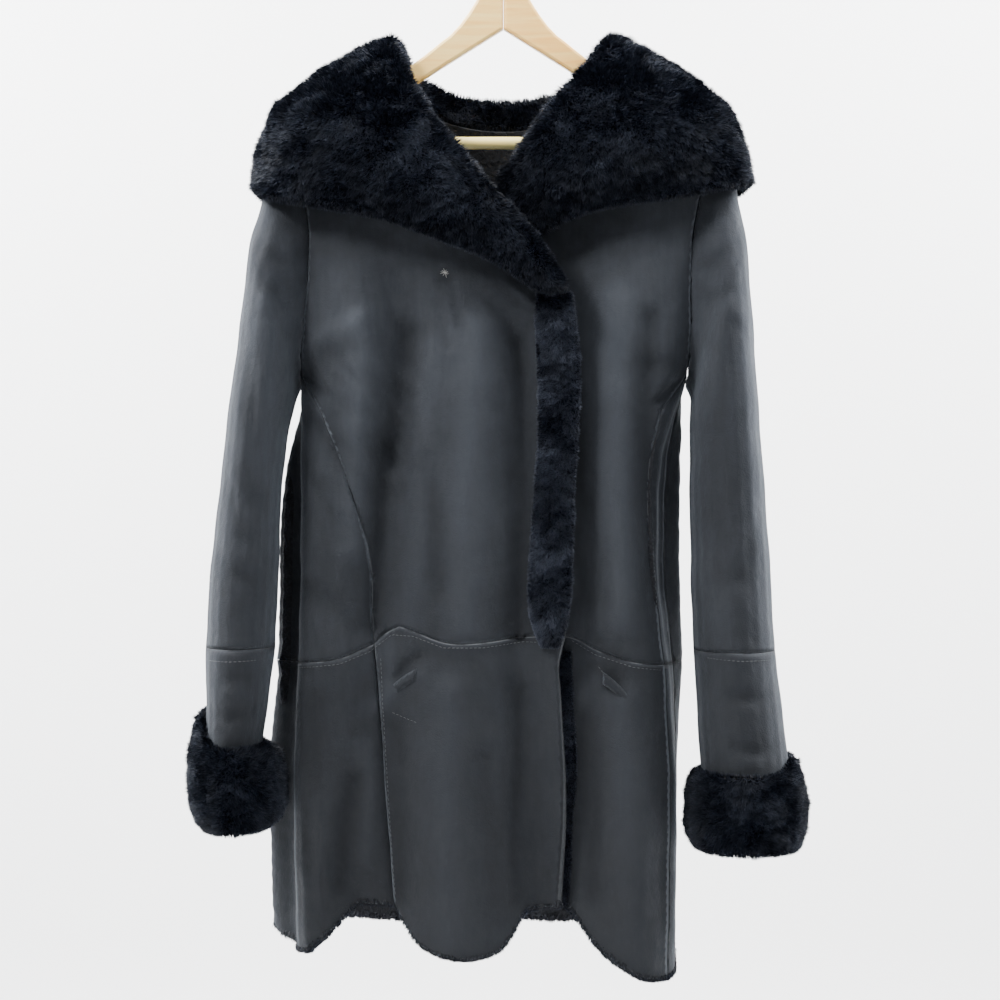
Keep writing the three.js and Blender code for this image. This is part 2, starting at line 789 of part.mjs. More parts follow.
// A sleeve and a cuff are sewn from a front and a back half, with seams at the outer and the
// inner side of the arm. A half takes its share of rings that run all the way around.
const INNER_SIDE = RING_TURNS.indexOf(Math.PI);

function halfWall(outerRings, innerRings, half) {
  const share = (ring) => (half === 'front'
    ? ring.slice(0, INNER_SIDE + 1)
    : [...ring.slice(INNER_SIDE), ring[0]]).map((point) => point.clone());
  const outer = outerRings.map(share);
  const inner = innerRings.map(share);
  inset(outer);
  inset(inner);
  return sheetWall(outer, inner);
}

function sleeveHalf(side, half, from, to) {
  const outer = [];
  const inner = [];
  for (let ring = from; ring <= to; ring += 1) {
    outer.push(sleeveRing(side, ring, 0));
    inner.push(sleeveRing(side, ring, -WALL));
  }
  return halfWall(outer, inner, half);
}

// Cuffs: fur rings around the sleeve ends. The outer face has its own table.
// "raised" lifts the row where it lies behind the outer edge of the sleeve.
const CUFFS = {
  left: columns(['drop', 'left', 'right', 'front', 'back', 'ring', 'raised'], [
    [846, -304, -239, -100, 41, 11.75, 34],
    [850, -311, -227, -105, 45, 11.8, 33],
    [868, -318, -218, -110, 47, 12.1, 22],
    [903, -319, -217, -112, 48, 12.6, 5],
    [922, -312, -222, -108, 44, 12.85, 0],
    [930, -301, -239, -103, 33, 12.96, 0],
  ]),
  right: columns(['drop', 'left', 'right', 'front', 'back', 'ring', 'raised'], [
    [874, 195, 295, -93, 50, 12.1, 16],
    [878, 188, 300, -96, 52, 12.15, 15],
    [893, 182, 308, -99, 53, 12.35, 9],
    [926, 181, 310, -102, 55, 12.75, 2],
    [944, 187, 303, -98, 50, 12.93, 0],
    [952, 197, 297, -94, 44, 12.99, 0],
  ]),
};
const RING_STEP = 64;           // drop between two rings of the forearm
const RAISED_TURN = 0.6;        // how far before the outer side a row is highest
const RAISED_SHARE = 0.45;      // share of the way around that stays low

function cuffHalf(side, half) {
  const outer = [];
  const inner = [];
  for (const row of CUFFS[side]) {
    const outward = [];
    const inward = [];
    for (const turn of RING_TURNS) {
      const towardsInner = side === 'left' ? row.right : row.left;
      const towardsOuter = side === 'left' ? row.left : row.right;
      const share = (1 + Math.cos(turn)) / 2;
      const raised = row.raised * smooth(RAISED_SHARE, 1, (1 + Math.cos(turn + RAISED_TURN)) / 2);
      const z = raised - row.drop;
      const ring = row.ring - raised / RING_STEP;
      const y = (row.front + row.back) / 2 - (row.back - row.front) / 2 * Math.sin(turn);
      outward.push(new THREE.Vector3(lerp(towardsInner, towardsOuter, share), y, z));
      const skin = sleevePoint(side, turn, ring).addScaledVector(sleeveNormal(side, turn, ring), CUFF_REST);
      inward.push(new THREE.Vector3(skin.x, skin.y, z));
    }
    outer.push(outward);
    inner.push(inward);
  }
  return halfWall(outer, inner, half);
}

// Collar: its leather side rises from the neckline to the roll and falls back over the coat.
// "out" is the way, in degrees, from the stand to the fall: -90 at the front, 180 at the side.
const COLLAR_COLUMNS = ['baseX', 'baseDrop', 'topX', 'topY', 'topDrop', 'out',
  'midX', 'midY', 'midDrop', 'edgeX', 'edgeY', 'edgeDrop', 'pile'];
const COLLARS = {
  left: columns(COLLAR_COLUMNS, [
    [34, 378, 57, -70, 391, -90, 46, -76, 392, 34, -73, 390, 11],
    [20, 360, 43, -74, 366, -92, 20, -80, 368, 4, -75, 370, 13],
    [-5, 331, 14, -75, 328, -94, -10, -82, 340, -30, -74, 352, 14],
    [-32, 298, -14, -75, 300, -98, -42, -84, 320, -70, -73, 337, 16],
    [-62, 264, -48, -72, 262, -104, -86, -83, 290, -122, -71, 318, 17],
    [-92, 228, -82, -62, 220, -112, -138, -76, 258, -190, -65, 306, 17],
    [-108, 190, -104, -40, 176, -138, -190, -58, 218, -239, -46, 296, 17],
    [-107, 154, -114, 0, 138, -180, -226, 0, 208, -250, 0, 286, 17],
    [-101, 176, -104, 42, 160, -228, -190, 62, 212, -238, 46, 294, 17],
    [-62, 207, -62, 60, 188, -250, -120, 84, 244, -150, 74, 322, 17],
    [0, 217, 0, 64, 197, -270, 0, 90, 258, 0, 84, 345, 17],
  ]),
  right: columns(COLLAR_COLUMNS, [
    [33, 318, 2, -40, 306, -90, 14, -44, 322, 26, -43, 340, 8],
    [33, 290, 10, -46, 280, -90, 38, -54, 300, 60, -52, 320, 12],
    [36, 268, 22, -52, 256, -90, 72, -66, 284, 104, -62, 306, 16],
    [56, 237, 46, -56, 222, -76, 118, -74, 262, 150, -64, 300, 17],
    [88, 200, 78, -46, 184, -64, 160, -68, 228, 200, -56, 292, 17],
    [105, 176, 96, -32, 160, -42, 200, -44, 210, 238, -38, 284, 17],
    [107, 154, 112, 0, 138, 0, 222, 0, 208, 247, 0, 278, 17],
    [101, 176, 104, 42, 160, 48, 190, 62, 214, 236, 46, 288, 17],
    [62, 207, 62, 60, 188, 70, 120, 84, 244, 150, 74, 322, 17],
    [0, 217, 0, 64, 197, 90, 0, 90, 258, 0, 84, 345, 17],
  ]),
};
const COLLAR_SEAM = 1.1;        // from the neckline up to the collar, and sideways
const COLLAR_ASIDE = 1.2;
const SHOULDER_ROW = { left: 7, right: 6 };
const FOLD_GAP = 4.5;           // half the space between the stand and the fall at the roll

function neckBase(side, station) {
  const rows = COLLARS[side];
  const shoulder = SHOULDER_ROW[side];
  const at = (column) => read(rows.map((row, i) => ({ ...row, i })), 'i', column, station);
  if (station < shoulder) {
    const drop = Math.max(NECK_DROP + 0.5, at('baseDrop'));
    const face = side === 'left' ? 'leftFront' : 'rightFront';
    return bodyPoint(angleAtX(face, frontInnerX(side, drop), drop), drop);
  }
  const x = at('baseX');
  const limited = Math.sign(x) * Math.min(Math.abs(x), NECK_X - 0.2);
  const drop = read(BACK_NECK, 'x', 'drop', limited);
  return bodyPoint(angleAtX('back', limited, drop), drop);
}

function collarCurve(side, station) {
  const rows = COLLARS[side].map((row, i) => ({ ...row, i }));
  const at = (column) => read(rows, 'i', column, station);
  const base = neckBase(side, station);
  const top = new THREE.Vector3(at('topX'), at('topY'), -at('topDrop'));
  const out = THREE.MathUtils.degToRad(at('out'));
  const away = new THREE.Vector3(Math.cos(out), Math.sin(out), 0).multiplyScalar(FOLD_GAP);
  const mid = new THREE.Vector3(at('midX'), at('midY'), -at('midDrop'));
  const edge = new THREE.Vector3(at('edgeX'), at('edgeY'), -at('edgeDrop'));
  const rise = top.clone().sub(base).normalize();
  const standTop = top.clone().addScaledVector(rise, -FOLD_GAP).sub(away);
  const fall = mid.clone().sub(top).normalize();
  const fallTop = top.clone().addScaledVector(fall, FOLD_GAP * 1.6).add(away);
  base.addScaledVector(rise, COLLAR_SEAM);
  base.x += side === 'left' ? COLLAR_ASIDE : -COLLAR_ASIDE;
  return new THREE.CatmullRomCurve3([base, standTop, top, fallTop, mid, edge], false, 'centripetal');
}

// Shares of the section's curve at which it has its points: closest together at the roll.
const ALONG_SHARES = [0, 0.14, 0.26, 0.34, 0.4, 0.46, 0.54, 0.62, 0.71, 0.8, 0.9, 1];
const ALONG = ALONG_SHARES.length;

const EDGE_THIN = 0.55;         // share of the pile at the lower edge

// Sections along a collar, counted in rows of its table: closest together over the shoulder.
function stations(side) {
  const shoulder = SHOULDER_ROW[side];
  const last = COLLARS[side].length - 1;
  const list = [];
  for (let at = 0; at < shoulder - 0.5; at += 0.5) list.push(at);
  for (const step of [-0.5, -0.3, -0.15, 0, 0.15, 0.3, 0.5]) list.push(shoulder + step);
  for (let at = shoulder + 1; at <= last; at += 0.5) list.push(at);
  return list;
}

function collarLeather(side) {
  const rows = COLLARS[side].map((row, i) => ({ ...row, i }));
  return stations(side).map((station) => {
    const curve = collarCurve(side, station);
    return { points: ALONG_SHARES.map((t) => curve.getPoint(t)), pile: read(rows, 'i', 'pile', station) };
  });
}

function collarWall(side) {
  const lines = collarLeather(side);
  const leather = lines.map((line) => line.points);
  const rows = leather.length;
  const fur = leather.map((row, i) => row.map((point, j) => {
    const next = leather[Math.min(rows - 1, i + 1)][j];
    const before = leather[Math.max(0, i - 1)][j];
    const up = row[Math.max(0, j - 1)];
    const down = row[Math.min(ALONG - 1, j + 1)];
    const normal = down.clone().sub(up).cross(next.clone().sub(before)).normalize();
    if (side === 'left') normal.negate();
    const grown = lerp(WALL, lines[i].pile, smooth(0, 0.3, j / (ALONG - 1)));
    const taper = lerp(1, EDGE_THIN, smooth(0.86, 1, j / (ALONG - 1)));
    return point.clone().addScaledVector(normal, grown * taper);
  }));
  const centre = side === 'left' ? -SEAM : SEAM;
  for (const grid of [leather, fur]) {
    for (const point of grid[rows - 1]) point.x = centre;
  }
  return sheetWall(fur, leather);
}

// Hanger

const ARM_THICK = 14;
const ARM_ROUND = 3;
const ARM_END = 219;
const ARM_DEEP = 22;            // height of an arm, straight down
const ARM_LINE = NECK_DROP + (WALL + ARM_REST) / Math.cos(Math.atan(SHOULDER_SLOPE)) - SHOULDER_SLOPE * NECK_X;
const NECK_TOP = 66;            // drop of the wood where the hook goes in
const NECK_HALF = 16;
const BAR_DROP = 235;
const BAR_RADIUS = 6.4;
const BAR_HALF = 170;
const TENON_RADIUS = 3.6;
const TENON_END = 190;
const BORE_LENGTH = 60;
const WIRE_RADIUS = 1.9;
const HOOK_RADIUS = 21;
const HOOK_TURN = [-30, 200];   // degrees around the loop, from its stem to its tip
const HOOK_STEPS = 14;
const WELL_DEPTH = 15;
const FERRULE_RADIUS = 7;
const FERRULE_TOP_RADIUS = 5;
const FERRULE_HEIGHT = 5;

const armTop = (x) => ARM_LINE + SHOULDER_SLOPE * x;

const JOINT_HALF = 0.2;         // half the gap where the two arms meet
const JOINT_LOW = 119;          // drop of the arms' underside at that joint
const SLANT = 1.18;             // a rounding's width measured straight down on the slope

// The outline is drawn smaller by the rounding, which is added to it all round.
function armShape() {
  const shape = new THREE.Shape();
  const inset = ARM_ROUND;
  const split = JOINT_HALF + inset;
  const under = (x) => armTop(x) + ARM_DEEP;
  shape.moveTo(split, -(NECK_TOP + inset));
  shape.lineTo(NECK_HALF - inset, -(NECK_TOP + inset));
  shape.bezierCurveTo(24 - inset, -84, 38 - inset, -112, 56 - inset, -128);
  shape.bezierCurveTo(66, -137, 76, -(armTop(76) + inset), 96, -(armTop(96) + inset * SLANT));
  shape.lineTo(ARM_END - 8, -(armTop(ARM_END - 8) + inset * SLANT));
  shape.quadraticCurveTo(ARM_END - inset, -(armTop(ARM_END) + 1), ARM_END - inset, -(armTop(ARM_END) + 9));
  shape.quadraticCurveTo(ARM_END - inset, -(under(ARM_END) - 5), ARM_END - 10, -(under(ARM_END - 10) - inset * SLANT));
  shape.lineTo(split, -(JOINT_LOW + SHOULDER_SLOPE * split - inset * SLANT));
  shape.closePath();
  return shape;
}

function toManifold(geometry) {
  const plain = geometry.index ? geometry.clone() : geometry;
  plain.deleteAttribute('normal');
  plain.deleteAttribute('uv');
  const merged = mergeVertices(plain, 1e-4);
  return new wasm.Manifold(new wasm.Mesh({
    numProp: 3,
    vertProperties: new Float32Array(merged.attributes.position.array),
    triVerts: new Uint32Array(merged.index.array),
  }));
}

function toGeometry(solid) {
  const mesh = solid.getMesh();
  const geometry = new THREE.BufferGeometry();
  geometry.setAttribute('position', new THREE.Float32BufferAttribute(mesh.vertProperties, 3));
  geometry.setIndex([...mesh.triVerts]);
  geometry.computeVertexNormals();
  return geometry;
}

function hangerArm(side) {
  const body = new THREE.ExtrudeGeometry(armShape(), {
    depth: ARM_THICK - 2 * ARM_ROUND,
    bevelThickness: ARM_ROUND,
    bevelSize: ARM_ROUND,
    bevelSegments: 2,
    curveSegments: 5,
  });
  body.translate(0, 0, -(ARM_THICK / 2 - ARM_ROUND));
  body.rotateX(Math.PI / 2);
  const bore = new THREE.CylinderGeometry(TENON_RADIUS + REST, TENON_RADIUS + REST, BORE_LENGTH, 20);
  bore.rotateZ(Math.PI / 2);
  bore.translate(TENON_END + SEAM - BORE_LENGTH / 2, 0, -BAR_DROP);
  const well = new THREE.CylinderGeometry(WIRE_RADIUS + REST, WIRE_RADIUS + REST, 2 * WELL_DEPTH, 16);
  well.rotateX(Math.PI / 2);
  well.translate(0, 0, -NECK_TOP);
  let solid = toManifold(body).subtract(toManifold(bore)).subtract(toManifold(well));
  if (side === 'left') solid = solid.mirror([1, 0, 0]);
  return toGeometry(solid);
}

function trouserBar() {
  const profile = [
    [0, -TENON_END],
    [TENON_RADIUS, -TENON_END],
    [TENON_RADIUS, -BAR_HALF],
    [BAR_RADIUS, -BAR_HALF],
    [BAR_RADIUS, BAR_HALF],
    [TENON_RADIUS, BAR_HALF],
    [TENON_RADIUS, TENON_END],
    [0, TENON_END],
  ].map(([radius, along]) => new THREE.Vector2(radius, along));
  const geometry = new THREE.LatheGeometry(profile, 14);
  geometry.rotateZ(Math.PI / 2);
  geometry.translate(0, 0, -BAR_DROP);
  return geometry;
}

// The wire rises from the wood, turns over the rail and ends in a rounded return.
function hookWire() {
  const centre = HOOK_RADIUS - WIRE_RADIUS;
  const points = [
    new THREE.Vector3(0, 0, -(NECK_TOP + WELL_DEPTH - 3)),
    new THREE.Vector3(0, 0, -(NECK_TOP - 4)),
    new THREE.Vector3(0, 0, -(NECK_TOP - 12)),
    new THREE.Vector3(4, 0, -(NECK_TOP - 22)),
  ];
  for (let i = 0; i <= HOOK_STEPS; i += 1) {
    const angle = THREE.MathUtils.degToRad(lerp(...HOOK_TURN, i / HOOK_STEPS));
    points.push(new THREE.Vector3(HOOK_RADIUS * Math.cos(angle), 0, HOOK_RADIUS * Math.sin(angle) - centre));
  }
  const circle = new THREE.Shape().absarc(0, 0, WIRE_RADIUS, 0, FULL);
  return new THREE.ExtrudeGeometry(circle, {
    steps: 30,
    curveSegments: 4,
    extrudePath: new THREE.CatmullRomCurve3(points),
  });
}

function hookFerrule() {
  const low = -(NECK_TOP - SEAM);
  const high = low + FERRULE_HEIGHT;
  const hole = WIRE_RADIUS + REST;
  const profile = [
    [hole, low],
    [FERRULE_RADIUS, low],
    [FERRULE_RADIUS, low + FERRULE_HEIGHT / 2],
    [FERRULE_TOP_RADIUS, high],
    [hole, high],
    [hole, low],
  ].map(([radius, z]) => new THREE.Vector2(radius, z));
  const geometry = new THREE.LatheGeometry(profile, 20);
  geometry.rotateX(Math.PI / 2);
  return geometry;
}

// Materials

const suede = new THREE.MeshStandardMaterial({ color: 0x3c4046, roughness: 0.92, metalness: 0 });
const fur = new THREE.MeshStandardMaterial({ color: 0x14171f, roughness: 0.85, metalness: 0 });
const paleWood = new THREE.MeshStandardMaterial({ color: 0xf0cf98, roughness: 0.45, metalness: 0 });
const warmWood = new THREE.MeshStandardMaterial({ color: 0xe6bd80, roughness: 0.45, metalness: 0 });
const steel = new THREE.MeshStandardMaterial({ color: 0xc4c7ca, roughness: 0.25, metalness: 1 });

const coat = new THREE.Group();
const hanger = new THREE.Group();

function add(group, name, geometry, material) {
  const plain = geometry.clone();
  plain.deleteAttribute('uv');
  plain.deleteAttribute('normal');
  const merged = mergeVertices(plain, 1e-4);
  merged.computeVertexNormals();
  const mesh = new THREE.Mesh(merged, material);
  mesh.name = name;
  group.add(mesh);
}

const panels = [
  ['front_left', upperFront('left', 16), leftEdge, leftPrincess],
  ['side_front_left', upperSideFront('left', 8), leftPrincess, leftSide],
  ['front_right', upperFront('right', 11), rightEdge, rightPrincess],
  ['side_front_right', upperSideFront('right', 7), rightPrincess, rightSide],
  ['back', upperBack(), leftSide, rightSide],
];
for (const [name, upper, startAt, endAt] of panels) {
  add(coat, `${name}_upper`, panelWall(upper), suede);
  add(coat, `${name}_lower`, panelWall(lowerPanel(upper, startAt, endAt)), suede);
}
add(coat, 'front_band', frontBand(), fur);
add(coat, 'edge_strip_right', edgeStrip(), fur);
add(coat, 'pocket_welt_left', pocketWelt('leftFront', { x: -122, drop: 798 }, { x: -86, drop: 768 }), suede);
add(coat, 'pocket_welt_right', pocketWelt('rightFront', { x: 128, drop: 800 }, { x: 100, drop: 772 }), suede);
for (const side of ['left', 'right']) {
  for (const half of ['front', 'back']) {
    add(coat, `sleeve_${side}_upper_${half}`, sleeveHalf(side, half, 0, SLEEVE_SEAM), suede);
    add(coat, `sleeve_${side}_lower_${half}`, sleeveHalf(side, half, SLEEVE_SEAM, SLEEVE_END), suede);
    add(coat, `cuff_${side}_${half}`, cuffHalf(side, half), fur);
  }
  add(coat, `collar_${side}`, collarWall(side), fur);
}
add(hanger, 'hanger_arm_left', hangerArm('left'), paleWood);
add(hanger, 'hanger_arm_right', hangerArm('right'), warmWood);
add(hanger, 'hanger_bar', trouserBar(), paleWood);
add(hanger, 'hook', hookWire(), steel);
add(hanger, 'hook_ferrule', hookFerrule(), steel);

const part = new THREE.Group();
part.add(coat, hanger);

export default part;
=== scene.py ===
# %% [markdown]
# # A shearling coat on its hanger
# Shearling is one hide with two faces: napped suede outside and clipped fur inside.
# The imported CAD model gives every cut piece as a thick, plainly shaded wall. This lesson keeps
# those shapes and dresses them: suede that creases, fur that stands up, stitches and wood.

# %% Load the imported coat
import json
import math

import bmesh
import bpy
import numpy as np
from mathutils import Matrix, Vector
from mathutils.bvhtree import BVHTree

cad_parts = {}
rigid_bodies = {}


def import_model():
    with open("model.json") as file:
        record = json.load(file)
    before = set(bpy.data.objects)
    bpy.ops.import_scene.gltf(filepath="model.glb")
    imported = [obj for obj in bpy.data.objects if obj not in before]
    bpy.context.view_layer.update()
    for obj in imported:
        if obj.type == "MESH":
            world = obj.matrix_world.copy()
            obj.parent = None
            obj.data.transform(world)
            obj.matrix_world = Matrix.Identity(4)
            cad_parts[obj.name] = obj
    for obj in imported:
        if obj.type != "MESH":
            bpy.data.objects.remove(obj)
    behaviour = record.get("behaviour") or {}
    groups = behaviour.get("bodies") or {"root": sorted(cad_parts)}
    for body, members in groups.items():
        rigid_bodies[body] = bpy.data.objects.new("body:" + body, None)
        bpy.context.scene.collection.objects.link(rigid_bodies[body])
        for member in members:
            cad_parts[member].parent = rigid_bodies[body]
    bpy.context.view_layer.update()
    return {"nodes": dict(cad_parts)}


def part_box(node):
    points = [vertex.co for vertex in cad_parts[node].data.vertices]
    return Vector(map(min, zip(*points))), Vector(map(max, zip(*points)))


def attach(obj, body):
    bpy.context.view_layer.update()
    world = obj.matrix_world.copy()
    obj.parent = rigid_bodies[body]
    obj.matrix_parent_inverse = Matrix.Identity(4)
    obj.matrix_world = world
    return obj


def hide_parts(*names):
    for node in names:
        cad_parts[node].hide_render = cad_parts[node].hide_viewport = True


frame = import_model()

MM = 0.001
BODY = "root"


def add_object(name, data):
    """Puts a new object with the given data into the scene."""
    added = bpy.data.objects.new(name, data)
    bpy.context.collection.objects.link(added)
    return added


# %% [markdown]
# ## The camera and the studio
# The photograph was taken straight from the front, from about two and a half coat lengths away.
# A long lens at that distance repeats its perspective. The backdrop is one sheet that curves
# from floor to wall, so no edge shows behind the coat, and big soft lamps keep the shadows soft.
# Its wall stands close behind, so a camera placed further back than that sees only the wall.

# %% Camera
camera = add_object("camera", bpy.data.cameras.new("camera"))
camera.location = (-0.0035, -2.66, -0.600)
camera.rotation_euler = (math.radians(90), 0, 0)
camera.data.lens = 93.6
camera.data.sensor_width = 36
bpy.context.scene.camera = camera


# %% Helpers that fill a node tree
def add_node(tree, kind, inputs=None, **settings):
    """Adds a node, sets its options, and links or fills its inputs by name or number."""
    node = tree.nodes.new(kind)
    for option, value in settings.items():
        setattr(node, option, value)
    for key, value in (inputs or {}).items():
        socket = node.inputs[key]
        if isinstance(value, bpy.types.NodeSocket):
            tree.links.new(value, socket)
        else:
            socket.default_value = value
    return node


def output_of(tree, kind, inputs=None, **settings):
    """Adds a node and gives its first output."""
    return add_node(tree, kind, inputs, **settings).outputs[0]


class Finish:
    """A material whose nodes are added one after another."""

    def __init__(self, name, **constants):
        self.material = bpy.data.materials.new(name)
        self.material.use_nodes = True
        self.tree = self.material.node_tree
        self.shader = self.tree.nodes["Principled BSDF"]
        self.place = add_node(self.tree, "ShaderNodeTexCoord").outputs["Object"]
        for socket, value in constants.items():
            self.shader.inputs[socket.replace("_", " ")].default_value = value

    def stretched(self, scale, turn=(0, 0, 0)):
        inputs = {"Vector": self.place, "Scale": scale, "Rotation": turn}
        return output_of(self.tree, "ShaderNodeMapping", inputs)

    def noise(self, scale, detail=2, vector=None, distortion=0.0):
        vector = vector or self.place
        inputs = {"Vector": vector, "Scale": scale, "Detail": detail, "Distortion": distortion}
        return add_node(self.tree, "ShaderNodeTexNoise", inputs).outputs["Fac"]

    def place_part(self, axis):
        return add_node(self.tree, "ShaderNodeSeparateXYZ", {0: self.place}).outputs[axis]

    def attribute(self, name):
        return add_node(self.tree, "ShaderNodeAttribute", attribute_name=name).outputs["Fac"]

    def spread(self, value, low, high, out_low=0.0, out_high=1.0):
        """Stretches the part of a value between low and high over the output range."""
        inputs = {"Value": value, 1: low, 2: high, 3: out_low, 4: out_high}
        return output_of(self.tree, "ShaderNodeMapRange", inputs, interpolation_type="SMOOTHSTEP")

    def math(self, operation, a, b):
        return output_of(self.tree, "ShaderNodeMath", {0: a, 1: b}, operation=operation)

    def mix(self, share, a, b, blend="MIX"):
        inputs = {0: share, 6: a, 7: b}
        node = add_node(self.tree, "ShaderNodeMix", inputs, data_type="RGBA", blend_type=blend)
        return node.outputs[2]

    def bump(self, height, distance, strength=1.0, normal=None):
        inputs = {"Height": height, "Distance": distance, "Strength": strength}
        if normal:
            inputs["Normal"] = normal
        return output_of(self.tree, "ShaderNodeBump", inputs)

    def wear(self, color=None, normal=None, roughness=None):
        for socket, value in (("Base Color", color), ("Normal", normal), ("Roughness", roughness)):
            if value is not None:
                self.tree.links.new(value, self.shader.inputs[socket])
        return self.material


# %% Floor and backdrop
FLOOR_Z = -1.9
WALL_Y = 1.5
WALL_TOP = 3.0
FLOOR_FRONT = -4.5
TURN_RADIUS = 0.6
TURN_STEPS = 12
HALF_STUDIO = 4.0

profile = [(FLOOR_FRONT, FLOOR_Z)]
for step in range(TURN_STEPS + 1):
    angle = math.pi / 2 * step / TURN_STEPS
    y = WALL_Y - TURN_RADIUS + TURN_RADIUS * math.sin(angle)
    z = FLOOR_Z + TURN_RADIUS - TURN_RADIUS * math.cos(angle)
    profile.append((y, z))
profile.append((WALL_Y, WALL_TOP))

backdrop_mesh = bpy.data.meshes.new("backdrop")
corners = [(x, y, z) for y, z in profile for x in (-HALF_STUDIO, HALF_STUDIO)]
faces = [(2 * i, 2 * i + 1, 2 * i + 3, 2 * i + 2) for i in range(len(profile) - 1)]
backdrop_mesh.from_pydata(corners, [], faces)
backdrop = add_object("backdrop", backdrop_mesh)
for face in backdrop_mesh.polygons:
    face.use_smooth = True

paper = Finish("paper", Roughness=0.9)
paper_tone = paper.mix(paper.noise(3), (0.9, 0.9, 0.9, 1), (0.93, 0.93, 0.93, 1))
backdrop_mesh.materials.append(paper.wear(paper_tone))

# %% Lamps
LAMPS = [
    # name, place, aimed at, size in m, watts, colour
    ("key", (-1.7, -1.35, 1.45), (0, 0, -0.2), 0.6, 110, (1.0, 0.99, 0.97)),
    ("fill", (1.9, -2.2, 0.9), (0, 0, -0.3), 1.6, 15, (0.92, 0.96, 1.0)),
    ("top", (0.1, -0.75, 1.3), (0, 0, -0.1), 0.8, 42, (0.95, 0.97, 1.0)),
    ("rim_left", (-1.7, 0.7, 0.5), (0, 0, -0.4), 0.8, 22, (0.8, 0.88, 1.0)),
    ("rim_right", (1.7, 0.7, 0.5), (0, 0, -0.4), 0.8, 20, (0.8, 0.88, 1.0)),
    ("wall_left", (-1.6, 0.3, 1.2), (-0.5, 1.5, -0.6), 1.6, 260, (1.0, 1.0, 1.0)),
    ("wall_right", (1.6, 0.3, 1.2), (0.5, 1.5, -0.6), 1.6, 260, (1.0, 1.0, 1.0)),
]
for name, place, aim, size, watts, color in LAMPS:
    lamp = bpy.data.lights.new(name, "AREA")
    lamp.size = size
    lamp.energy = watts
    lamp.color = color
    holder = add_object(name, lamp)
    holder.location = place
    holder.rotation_euler = (Vector(aim) - Vector(place)).to_track_quat("-Z", "Y").to_euler()

sky = bpy.data.worlds.new("sky")
sky.use_nodes = True
glow = sky.node_tree.nodes["Background"].inputs
glow["Color"].default_value = (0.92, 0.95, 1.0, 1)
glow["Strength"].default_value = 0.2
bpy.context.scene.world = sky

# %% [markdown]
# ## Finishes
# Suede is hide sanded to a short nap. It is rough with a little sheen, and its dye lies
# unevenly: cloudy at hand size, mottled at finger size and fine grained close to. The vertex
# value from_edge says how far a point is from the cut edge, where it is rubbed paler, and
# hollow and ridge say how deep in a crease or how high on one it lies. By these the colour
# gets painted shade in the troughs and a painted highlight on the ridges, and it is painted
# darker towards the hem as painted shade.

# %% Suede, raw edge and the fur inside
suede = Finish(
    "suede", Roughness=0.9, Specular_IOR_Level=0.15,
    Sheen_Weight=0.12, Sheen_Roughness=0.4, Sheen_Tint=(0.62, 0.7, 0.82, 1),
)
clouds = suede.spread(suede.noise(7, 3, distortion=0.4), 0.35, 0.68)
dye_and_painted_light = suede.mix(clouds, (0.0166, 0.0186, 0.0226, 1), (0.0262, 0.0291, 0.0346, 1))
mottle = suede.spread(suede.noise(55, 4), 0.3, 0.72)
dye_and_painted_light = suede.mix(suede.math("MULTIPLY", mottle, 0.3), dye_and_painted_light, (0.039, 0.0435, 0.052, 1))
strokes = suede.spread(suede.noise(160, 3, suede.stretched((1, 1, 0.25))), 0.35, 0.7)
dye_and_painted_light = suede.mix(suede.math("MULTIPLY", strokes, 0.25), dye_and_painted_light, (0.0125, 0.014, 0.017, 1))
# Painted shade: the suede is painted darker the deeper a point lies in a crease trough.
hollow = suede.attribute("hollow")
dye_and_painted_light = suede.mix(suede.math("MULTIPLY", hollow, 0.55), dye_and_painted_light, (0.0075, 0.0085, 0.0105, 1))
# Painted highlight: the suede is painted lighter on the crease ridges.
dye_and_painted_light = suede.mix(suede.math("MULTIPLY", suede.attribute("ridge"), 0.4), dye_and_painted_light, (0.048, 0.054, 0.065, 1))
rubbed = suede.spread(suede.attribute("from_edge"), 0.0004, 0.0015, 1.0, 0.0)
rubbed = suede.math("MULTIPLY", rubbed, suede.attribute("pale_edge"))
rubbed = suede.math("MULTIPLY", rubbed, suede.spread(suede.noise(55, 3), 0.38, 0.62))
dye_and_painted_light = suede.mix(rubbed, dye_and_painted_light, (0.13, 0.138, 0.15, 1))
# Painted shade: the suede is painted darker towards the hem, from the chest down.
height = suede.place_part("Z")
dye_and_painted_light = suede.mix(suede.spread(height, -1.08, -0.32, 0.62, 0.0), dye_and_painted_light, (0.009, 0.0096, 0.0108, 1))
nap = suede.bump(suede.noise(650, 4), 0.0009, 0.5)
pebble = suede.bump(suede.noise(95, 3), 0.003, 0.28, nap)
roll = suede.bump(suede.spread(suede.attribute("from_edge"), 0.0, 0.0035), 0.0014, 0.7, pebble)
SUEDE = suede.wear(dye_and_painted_light, roll, suede.spread(mottle, 0, 1, 0.82, 0.96))

edge = Finish("raw_edge", Roughness=0.85, Specular_IOR_Level=0.2)
EDGE = edge.wear(
    edge.mix(edge.noise(300, 3), (0.022, 0.024, 0.027, 1), (0.06, 0.064, 0.07, 1)),
    edge.bump(edge.noise(900, 2), 0.0006, 0.6),
)

lining = Finish("fur_lining", Roughness=0.95, Sheen_Weight=0.08, Sheen_Tint=(0.4, 0.5, 0.8, 1))
curl = lining.noise(140, 5, distortion=1.2)
LINING = lining.wear(
    lining.mix(curl, (0.0006, 0.0008, 0.0016, 1), (0.0030, 0.0038, 0.0068, 1)),
    lining.bump(curl, 0.006, 0.9),
)
